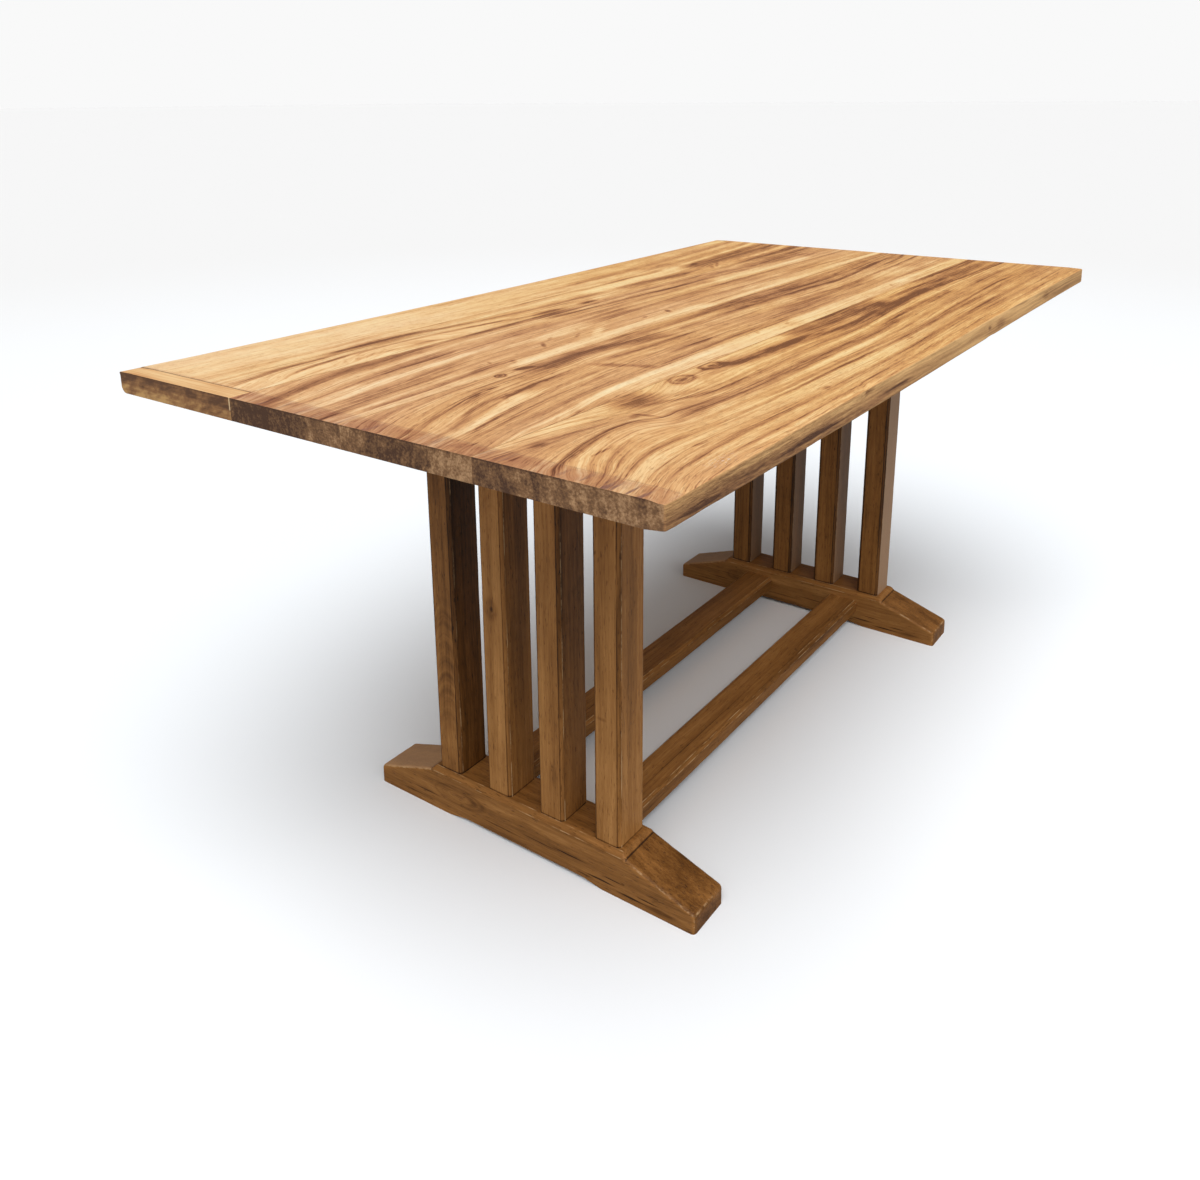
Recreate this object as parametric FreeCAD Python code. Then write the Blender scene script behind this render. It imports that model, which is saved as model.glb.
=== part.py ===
import FreeCAD, Part
import math
import os

# Trestle dining table in millimetres, +Z up, origin on the floor below the middle of the top.
# +X runs along the table. The near trestle stands at -X, and the left long edge of the top is at +Y.

# Table top
table_length = 1650.0
table_width = 884.0
table_height = 760.0
top_thickness = 30.0
inner_board_width = 200.0
end_strip_depth = 32.0
top_arris_chamfer = 1.5
left_under_radius = 11.0
right_under_radius = 4.0

# Natural edges of the outer boards: how far the upper and the lower arris lie inside
# the full width, at equal steps from the near end of the board to its far end
left_upper_insets = [0.0, 6.0, 11.0, 12.5, 9.0, 4.0, 0.5]
left_lower_insets = [1.0, 5.0, 8.0, 9.0, 8.0, 5.0, 2.0]
right_upper_insets = [7.0, 7.5, 8.5, 7.0, 9.5, 6.0, 0.5]
right_lower_insets = [7.0, 4.5, 2.5, 3.0, 2.5, 2.0, 0.0]

# Loose tongues glued into stopped grooves between the boards
tongue_width = 24.0
tongue_thickness = 6.0
tongue_end_stop = 90.0
strip_tongue_end_stop = 36.0

# Trestles
trestle_span = 1060.0
leg_count = 4
leg_pitch = 102.0
leg_width = 64.0
leg_thickness = 47.0
leg_chamfer = 5.0

# Feet
foot_length = 612.0
foot_width = 80.0
foot_height = 76.0
toe_height = 30.0
platform_length = 380.0
platform_bevel = 7.5
relief_length = 300.0
relief_ramp = 35.0
relief_depth = 6.0
foot_arris_radius = 4.0

# Bearers below the top
bearer_length = 640.0
bearer_width = 76.0
bearer_height = 58.0
bearer_end_height = 30.0
bearer_flat_length = 400.0
bearer_chamfer = 4.0

# Stretchers between the feet
stretcher_width = 66.0
stretcher_height = 28.0
stretcher_floor_gap = 29.0
stretcher_upper_chamfer = 5.0
stretcher_lower_chamfer = 2.0

# Stub tenons
leg_tenon_width = 40.0
leg_tenon_thickness = 20.0
foot_tenon_depth = 42.0
bearer_tenon_depth = 34.0
stretcher_tenon_width = 40.0
stretcher_tenon_thickness = 14.0
stretcher_tenon_depth = 30.0

# Coach screws that hold the top down on the bearers
screw_shank_diameter = 6.0
screw_head_flats = 10.0
screw_head_height = 4.0
screw_bite = 17.0
screw_point_length = 6.0
washer_diameter = 18.0
washer_thickness = 1.6
bearer_wood_over_washer = 24.0
movement_slot_travel = 6.0

# Clearances
glue_gap = 0.1
mortise_bottom_gap = 1.5
pilot_clearance = 0.05
washer_hole_clearance = 0.25
counterbore_clearance = 1.0
largest_round_share = 0.4

# Worked-out places
top_underside = table_height - top_thickness
outer_board_width = table_width / 2 - inner_board_width
near_end = -table_length / 2
far_end = table_length / 2
strip_joint = near_end + end_strip_depth
tongue_level = table_height - top_thickness / 2
trestle_middle = trestle_span / 2 - foot_width / 2
bearer_underside = top_underside - bearer_height
leg_rows = [leg_pitch * ((leg_count - 1) / 2 - i) for i in range(leg_count)]
stretcher_row = (leg_rows[0] + leg_rows[1]) / 2
outer_screw_row = (leg_rows[0] + leg_thickness / 2 + bearer_length / 2) / 2
washer_level = top_underside - bearer_wood_over_washer
sides = {"near": -1, "far": 1}


def block(x_size, y_size, z_size, x_middle, y_middle, z_low):
    """A box given by its sizes, its middle in plan and its underside."""
    corner = FreeCAD.Vector(x_middle - x_size / 2, y_middle - y_size / 2, z_low)
    return Part.makeBox(x_size, y_size, z_size, corner)


def polygon(points):
    """A closed wire through the given points."""
    vectors = [FreeCAD.Vector(*point) for point in points]
    return Part.makePolygon(vectors + vectors[:1])


def bar_along_x(section, length, x_middle):
    """A bar along X with a section given as (y, z) points."""
    start = x_middle - length / 2
    face = Part.Face(polygon([(start, y, z) for y, z in section]))
    return face.extrude(FreeCAD.Vector(length, 0, 0))


def chamfered_rectangle(width, height, lower_chamfer, upper_chamfer, middle, low):
    """Points of an upright rectangle whose lower and upper corners are cut off."""
    left = middle - width / 2
    right = middle + width / 2
    top = low + height
    return [
        (left + lower_chamfer, low),
        (right - lower_chamfer, low),
        (right, low + lower_chamfer),
        (right, top - upper_chamfer),
        (right - upper_chamfer, top),
        (left + upper_chamfer, top),
        (left, top - upper_chamfer),
        (left, low + lower_chamfer),
    ]


def same(a, b):
    """Whether two lengths agree."""
    return abs(a - b) < 1e-4


def natural_outline(inner_edge, side, insets, z):
    """Board outline in plan: straight inner edge and sawn ends, with a wavy outer edge."""
    outer = side * table_width / 2
    step = table_length / (len(insets) - 1)
    waves = [FreeCAD.Vector(near_end + i * step, outer - side * inset, z) for i, inset in enumerate(insets)]
    curve = Part.BSplineCurve()
    curve.interpolate(waves)
    near_corner = FreeCAD.Vector(near_end, inner_edge, z)
    far_corner = FreeCAD.Vector(far_end, inner_edge, z)
    edges = [
        Part.makeLine(near_corner, waves[0]),
        curve.toShape(),
        Part.makeLine(waves[-1], far_corner),
        Part.makeLine(far_corner, near_corner),
    ]
    return Part.Wire(edges)


def natural_board(side, upper_insets, lower_insets, under_radius):
    """Outer board with a natural edge, softened along its upper arris and rounded under."""
    inner_edge = side * inner_board_width
    lower = natural_outline(inner_edge, side, lower_insets, top_underside)
    upper = natural_outline(inner_edge, side, upper_insets, table_height)
    board = Part.makeLoft([lower, upper], True, True)
    radius = min(under_radius, largest_round_share * top_thickness)
    board = board.makeFillet(radius, outer_arris(board, top_underside))
    return board.makeChamfer(top_arris_chamfer, outer_arris(board, table_height))


def outer_arris(board, level):
    """The long outer edge of a board at one height."""
    middle_of_board = inner_board_width + outer_board_width / 2

    def outside(vertex):
        return same(vertex.Z, level) and abs(vertex.Y) > middle_of_board

    return [edge for edge in board.Edges if all(outside(vertex) for vertex in edge.Vertexes)]


def plain_board(side):
    """Inner board with sawn sides and ends."""
    middle = side * inner_board_width / 2
    return block(table_length, inner_board_width, top_thickness, 0, middle, top_underside)


def tongue_run():
    """Length and middle of a lengthwise tongue, which stops short of the shortest board."""
    start = strip_joint + tongue_end_stop
    end = far_end - tongue_end_stop
    return end - start, (start + end) / 2


def tongue(row, gap):
    """Loose tongue in the seam at a given row, or its groove when the gap is not zero."""
    length, middle = tongue_run()
    width = tongue_width + 2 * gap
    thickness = tongue_thickness + 2 * gap
    return block(length + 2 * gap, width, thickness, middle, row, tongue_level - thickness / 2)


def strip_tongue(gap):
    """Loose tongue across the end of the left outer board, or its groove."""
    length = outer_board_width - 2 * strip_tongue_end_stop + 2 * gap
    width = tongue_width + 2 * gap
    thickness = tongue_thickness + 2 * gap
    middle = inner_board_width + outer_board_width / 2
    return block(width, length, thickness, strip_joint, middle, tongue_level - thickness / 2)


def screw_places():
    """Place and slot travel of every screw; the outer ones may slide across the grain."""
    places = []
    for side in sides.values():
        for hand in (1, -1):
            places.append((side * trestle_middle, hand * stretcher_row, 0.0))
            places.append((side * trestle_middle, hand * outer_screw_row, movement_slot_travel))
    return places


def slot(diameter, travel, height, x, y, z_low):
    """Upright slot that is round-ended along Y, or a round hole when it has no travel."""
    ends = [FreeCAD.Vector(x, y + hand * travel / 2, z_low) for hand in (1, -1)]
    shape = Part.makeCylinder(diameter / 2, height, ends[0])
    if travel > 0:
        shape = shape.fuse(Part.makeCylinder(diameter / 2, height, ends[1]))
        shape = shape.fuse(block(diameter, travel, height, x, y, z_low))
    return shape.removeSplitter()


def screw(x, y):
    """Hexagon-head coach screw that points up from its washer into the top."""
    radius = screw_shank_diameter / 2
    corner_radius = screw_head_flats / math.sqrt(3)
    seat = washer_level - washer_thickness
    tip = top_underside + screw_bite
    turns = [math.pi / 3 * i for i in range(6)]
    rim = [(corner_radius * math.cos(turn), corner_radius * math.sin(turn)) for turn in turns]
    corners = [(x + along, y + across, seat) for along, across in rim]
    head = Part.Face(polygon(corners)).extrude(FreeCAD.Vector(0, 0, -screw_head_height))
    shank = Part.makeCylinder(radius, tip - screw_point_length - seat, FreeCAD.Vector(x, y, seat))
    point = Part.makeCone(radius, 0, screw_point_length, FreeCAD.Vector(x, y, tip - screw_point_length))
    return head.fuse(shank).fuse(point).removeSplitter()


def washer(x, y):
    """Flat washer between a screw head and the bottom of its counterbore."""
    hole_radius = screw_shank_diameter / 2 + washer_hole_clearance
    place = FreeCAD.Vector(x, y, washer_level - washer_thickness)
    ring = Part.makeCylinder(washer_diameter / 2, washer_thickness, place)
    return ring.cut(Part.makeCylinder(hole_radius, washer_thickness, place))


def pilot_holes():
    """Pilot holes in the underside of the top, one for each screw."""
    diameter = screw_shank_diameter + 2 * pilot_clearance
    depth = screw_bite + pilot_clearance
    return [slot(diameter, 0.0, depth, x, y, top_underside) for x, y, _ in screw_places()]


def leg_tenon(x, y, z_low, depth, gap, bottom_gap):
    """Stub tenon on a leg, or its mortise when the gap is not zero."""
    return block(leg_tenon_width + 2 * gap, leg_tenon_thickness + 2 * gap, depth + bottom_gap, x, y, z_low)


def stretcher_tenon(side, y, gap, bottom_gap):
    """Stub tenon at one end of a stretcher, or its mortise when the gap is not zero."""
    inner_face = side * (trestle_span / 2 - foot_width)
    depth = stretcher_tenon_depth + bottom_gap
    thickness = stretcher_tenon_thickness + 2 * gap
    low = stretcher_floor_gap + stretcher_height / 2 - thickness / 2
    return block(depth, stretcher_tenon_width + 2 * gap, thickness, inner_face + side * depth / 2, y, low)


def foot(side):
    """Foot beam: sloped toes, a bevelled platform for the legs and a relief underneath."""
    x = side * trestle_middle
    half = foot_length / 2
    platform_low = foot_height - platform_bevel
    slope_start = platform_length / 2
    relief_start = relief_length / 2
    relief_end = relief_start - relief_ramp
    profile = [
        (-half, 0.0),
        (-half, toe_height),
        (-slope_start, platform_low),
        (slope_start, platform_low),
        (half, toe_height),
        (half, 0.0),
        (relief_start, 0.0),
        (relief_end, relief_depth),
        (-relief_end, relief_depth),
        (-relief_start, 0.0),
    ]
    beam = bar_along_x(profile, foot_width, x)

    def toe_arris(edge):
        reach = max(abs(vertex.Y) for vertex in edge.Vertexes)
        return same(reach, half) and max(vertex.Z for vertex in edge.Vertexes) >= toe_height

    radius = min(foot_arris_radius, largest_round_share * toe_height)
    beam = beam.makeFillet(radius, [edge for edge in beam.Edges if toe_arris(edge)])
    base = rectangle(foot_width, platform_length, x, platform_low)
    crown = rectangle(foot_width - 2 * platform_bevel, platform_length - 2 * platform_bevel, x, foot_height)
    body = beam.fuse(Part.makeLoft([base, crown], True, True))
    for y in leg_rows:
        low = foot_height - foot_tenon_depth - mortise_bottom_gap
        body = body.cut(leg_tenon(x, y, low, foot_tenon_depth, glue_gap, mortise_bottom_gap))
    for y in (stretcher_row, -stretcher_row):
        body = body.cut(stretcher_tenon(side, y, glue_gap, mortise_bottom_gap))
    return body.removeSplitter()


def rectangle(x_size, y_size, x_middle, z):
    """Level rectangle centred on the table's middle line."""
    x0 = x_middle - x_size / 2
    x1 = x_middle + x_size / 2
    y1 = y_size / 2
    return polygon([(x0, -y1, z), (x1, -y1, z), (x1, y1, z), (x0, y1, z)])


def leg(side, row):
    """Upright slat with chamfered arrises and a stub tenon at each end."""
    x = side * trestle_middle
    low = foot_height
    high = bearer_underside
    front = x - leg_width / 2
    section = chamfered_rectangle(leg_thickness, leg_width, leg_chamfer, leg_chamfer, row, front)
    face = Part.Face(polygon([(px, py, low) for py, px in section]))
    post = face.extrude(FreeCAD.Vector(0, 0, high - low))
    post = post.fuse(leg_tenon(x, row, low - foot_tenon_depth, foot_tenon_depth, 0.0, 0.0))
    post = post.fuse(leg_tenon(x, row, high, bearer_tenon_depth, 0.0, 0.0))
    return post.removeSplitter()


def bearer(side):
    """Bearer under the top, with tapered ends, leg mortises and counterbored screw holes."""
    x = side * trestle_middle
    half = bearer_length / 2
    flat = bearer_flat_length / 2
    end_low = top_underside - bearer_end_height
    profile = [
        (-half, top_underside),
        (half, top_underside),
        (half, end_low),
        (flat, bearer_underside),
        (-flat, bearer_underside),
        (-half, end_low),
    ]
    body = bar_along_x(profile, bearer_width, x)

    def lower_arris(edge):
        first, last = [vertex.Point for vertex in edge.Vertexes]
        return max(first.z, last.z) <= end_low and not same(first.y, last.y)

    body = body.makeChamfer(bearer_chamfer, [edge for edge in body.Edges if lower_arris(edge)])
    for y in leg_rows:
        body = body.cut(leg_tenon(x, y, bearer_underside, bearer_tenon_depth, glue_gap, mortise_bottom_gap))
    bore = washer_diameter + 2 * counterbore_clearance
    hole = screw_shank_diameter + 2 * washer_hole_clearance
    for place_x, place_y, travel in screw_places():
        if place_x * side > 0:
            depth = washer_level - bearer_underside
            body = body.cut(slot(bore, travel, depth, place_x, place_y, bearer_underside))
            body = body.cut(slot(hole, travel, bearer_height, place_x, place_y, bearer_underside))
    return body.removeSplitter()


def stretcher(row):
    """Stretcher between the feet, with worn arrises and a stub tenon at each end."""
    length = trestle_span - 2 * foot_width
    section = chamfered_rectangle(
        stretcher_width,
        stretcher_height,
        stretcher_lower_chamfer,
        stretcher_upper_chamfer,
        row,
        stretcher_floor_gap,
    )
    body = bar_along_x(section, length, 0)
    for side in sides.values():
        body = body.fuse(stretcher_tenon(side, row, 0.0, 0.0))
    return body.removeSplitter()


def top_boards():
    """The four boards and the end strip, grooved for their tongues and drilled for the screws."""
    left = natural_board(1, left_upper_insets, left_lower_insets, left_under_radius)
    right = natural_board(-1, right_upper_insets, right_lower_insets, right_under_radius)
    beyond = table_length + table_width
    near_of_joint = block(beyond, beyond, beyond, strip_joint - beyond / 2, 0, -beyond / 2 + table_height)
    boards = {
        "top_board_left_outer": left.cut(near_of_joint),
        "top_board_left_inner": plain_board(1),
        "top_board_right_inner": plain_board(-1),
        "top_board_right_outer": right,
        "end_strip": left.common(near_of_joint),
    }
    cutters = [tongue(row, glue_gap) for row in (inner_board_width, 0.0, -inner_board_width)]
    cutters.append(strip_tongue(glue_gap))
    cutters.extend(pilot_holes())
    return {name: board.cut(cutters) for name, board in boards.items()}


def pieces():
    """Every piece of the table by name."""
    found = top_boards()
    found["loose_tongue_left"] = tongue(inner_board_width, 0.0)
    found["loose_tongue_middle"] = tongue(0.0, 0.0)
    found["loose_tongue_right"] = tongue(-inner_board_width, 0.0)
    found["end_strip_tongue"] = strip_tongue(0.0)
    for name, side in sides.items():
        found[name + "_foot"] = foot(side)
        found[name + "_bearer"] = bearer(side)
        for number, row in enumerate(leg_rows, start=1):
            found[f"{name}_leg_{number}"] = leg(side, row)
    found["left_stretcher"] = stretcher(stretcher_row)
    found["right_stretcher"] = stretcher(-stretcher_row)
    found["top_screws"] = Part.makeCompound([screw(x, y) for x, y, _ in screw_places()])
    found["screw_washers"] = Part.makeCompound([washer(x, y) for x, y, _ in screw_places()])
    return found


os.makedirs("parts", exist_ok=True)
for node, shape in pieces().items():
    shape.exportStep(f"parts/{node}.step")
    solids = len(shape.Solids)
    box = shape.optimalBoundingBox()
    print(f"{node}: {solids} solid(s), valid {shape.isValid()}, volume {shape.Volume:.0f} mm3, "
          f"x {box.XMin:.1f} to {box.XMax:.1f}, y {box.YMin:.1f} to {box.YMax:.1f}, "
          f"z {box.ZMin:.1f} to {box.ZMax:.1f}")
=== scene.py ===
"""Looks of a trestle dining table: its wooden pieces remodelled at their real size, with their finishes."""

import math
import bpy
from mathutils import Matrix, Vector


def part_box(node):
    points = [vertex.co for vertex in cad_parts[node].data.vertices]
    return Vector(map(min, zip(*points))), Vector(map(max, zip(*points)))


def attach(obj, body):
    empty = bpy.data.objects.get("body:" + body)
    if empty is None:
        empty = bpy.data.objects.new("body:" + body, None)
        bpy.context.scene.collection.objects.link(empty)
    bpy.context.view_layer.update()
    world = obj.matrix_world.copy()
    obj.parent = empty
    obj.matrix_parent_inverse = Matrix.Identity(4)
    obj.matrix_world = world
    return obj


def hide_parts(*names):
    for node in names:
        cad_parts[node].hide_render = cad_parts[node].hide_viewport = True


bl_info = {
    "name": "Trestle dining table",
    "version": (1, 0, 0),
    "blender": (4, 5, 0),
    "location": "3D View > Sidebar > Table",
    "description": "Models the wooden pieces of a trestle dining table and gives each its finish",
    "category": "Object",
}

import bmesh
import bpy
from mathutils import Matrix, Vector, noise

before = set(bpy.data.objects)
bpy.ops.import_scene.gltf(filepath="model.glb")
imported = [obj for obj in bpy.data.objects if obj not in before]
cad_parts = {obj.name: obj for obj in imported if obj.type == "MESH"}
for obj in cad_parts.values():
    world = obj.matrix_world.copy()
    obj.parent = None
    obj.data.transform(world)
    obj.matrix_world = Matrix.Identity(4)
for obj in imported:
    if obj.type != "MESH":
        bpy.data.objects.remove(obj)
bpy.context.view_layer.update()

MM = 0.001
BODY = "root"
X, Y, Z = Vector((1, 0, 0)), Vector((0, 1, 0)), Vector((0, 0, 1))
TOUCH = 0.02 * MM

# Places that the solids give
FOOT_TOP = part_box("near_foot")[1].z
BEARER_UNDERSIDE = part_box("near_bearer")[0].z
TOP_UNDERSIDE, TABLE_HEIGHT = (corner.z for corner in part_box("top_board_left_inner"))
NEAR_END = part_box("end_strip")[0].x
FAR_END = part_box("top_board_left_inner")[1].x
STRIP_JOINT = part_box("end_strip")[1].x
STRIP_INNER_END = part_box("end_strip")[0].y
SEAMS = [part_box(f"top_board_{board}")[0].y for board in ("left_outer", "left_inner", "right_inner")]
TRESTLES = ("near", "far")
LEGS = [f"{trestle}_leg_{number}" for trestle in TRESTLES for number in (1, 2, 3, 4)]
FEET = [f"{trestle}_foot" for trestle in TRESTLES]
STRETCHERS = ["left_stretcher", "right_stretcher"]
BEARERS = [f"{trestle}_bearer" for trestle in TRESTLES]
TONGUES = ["loose_tongue_left", "loose_tongue_middle", "loose_tongue_right", "end_strip_tongue"]
FIXINGS = ["top_screws", "screw_washers"]

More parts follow.
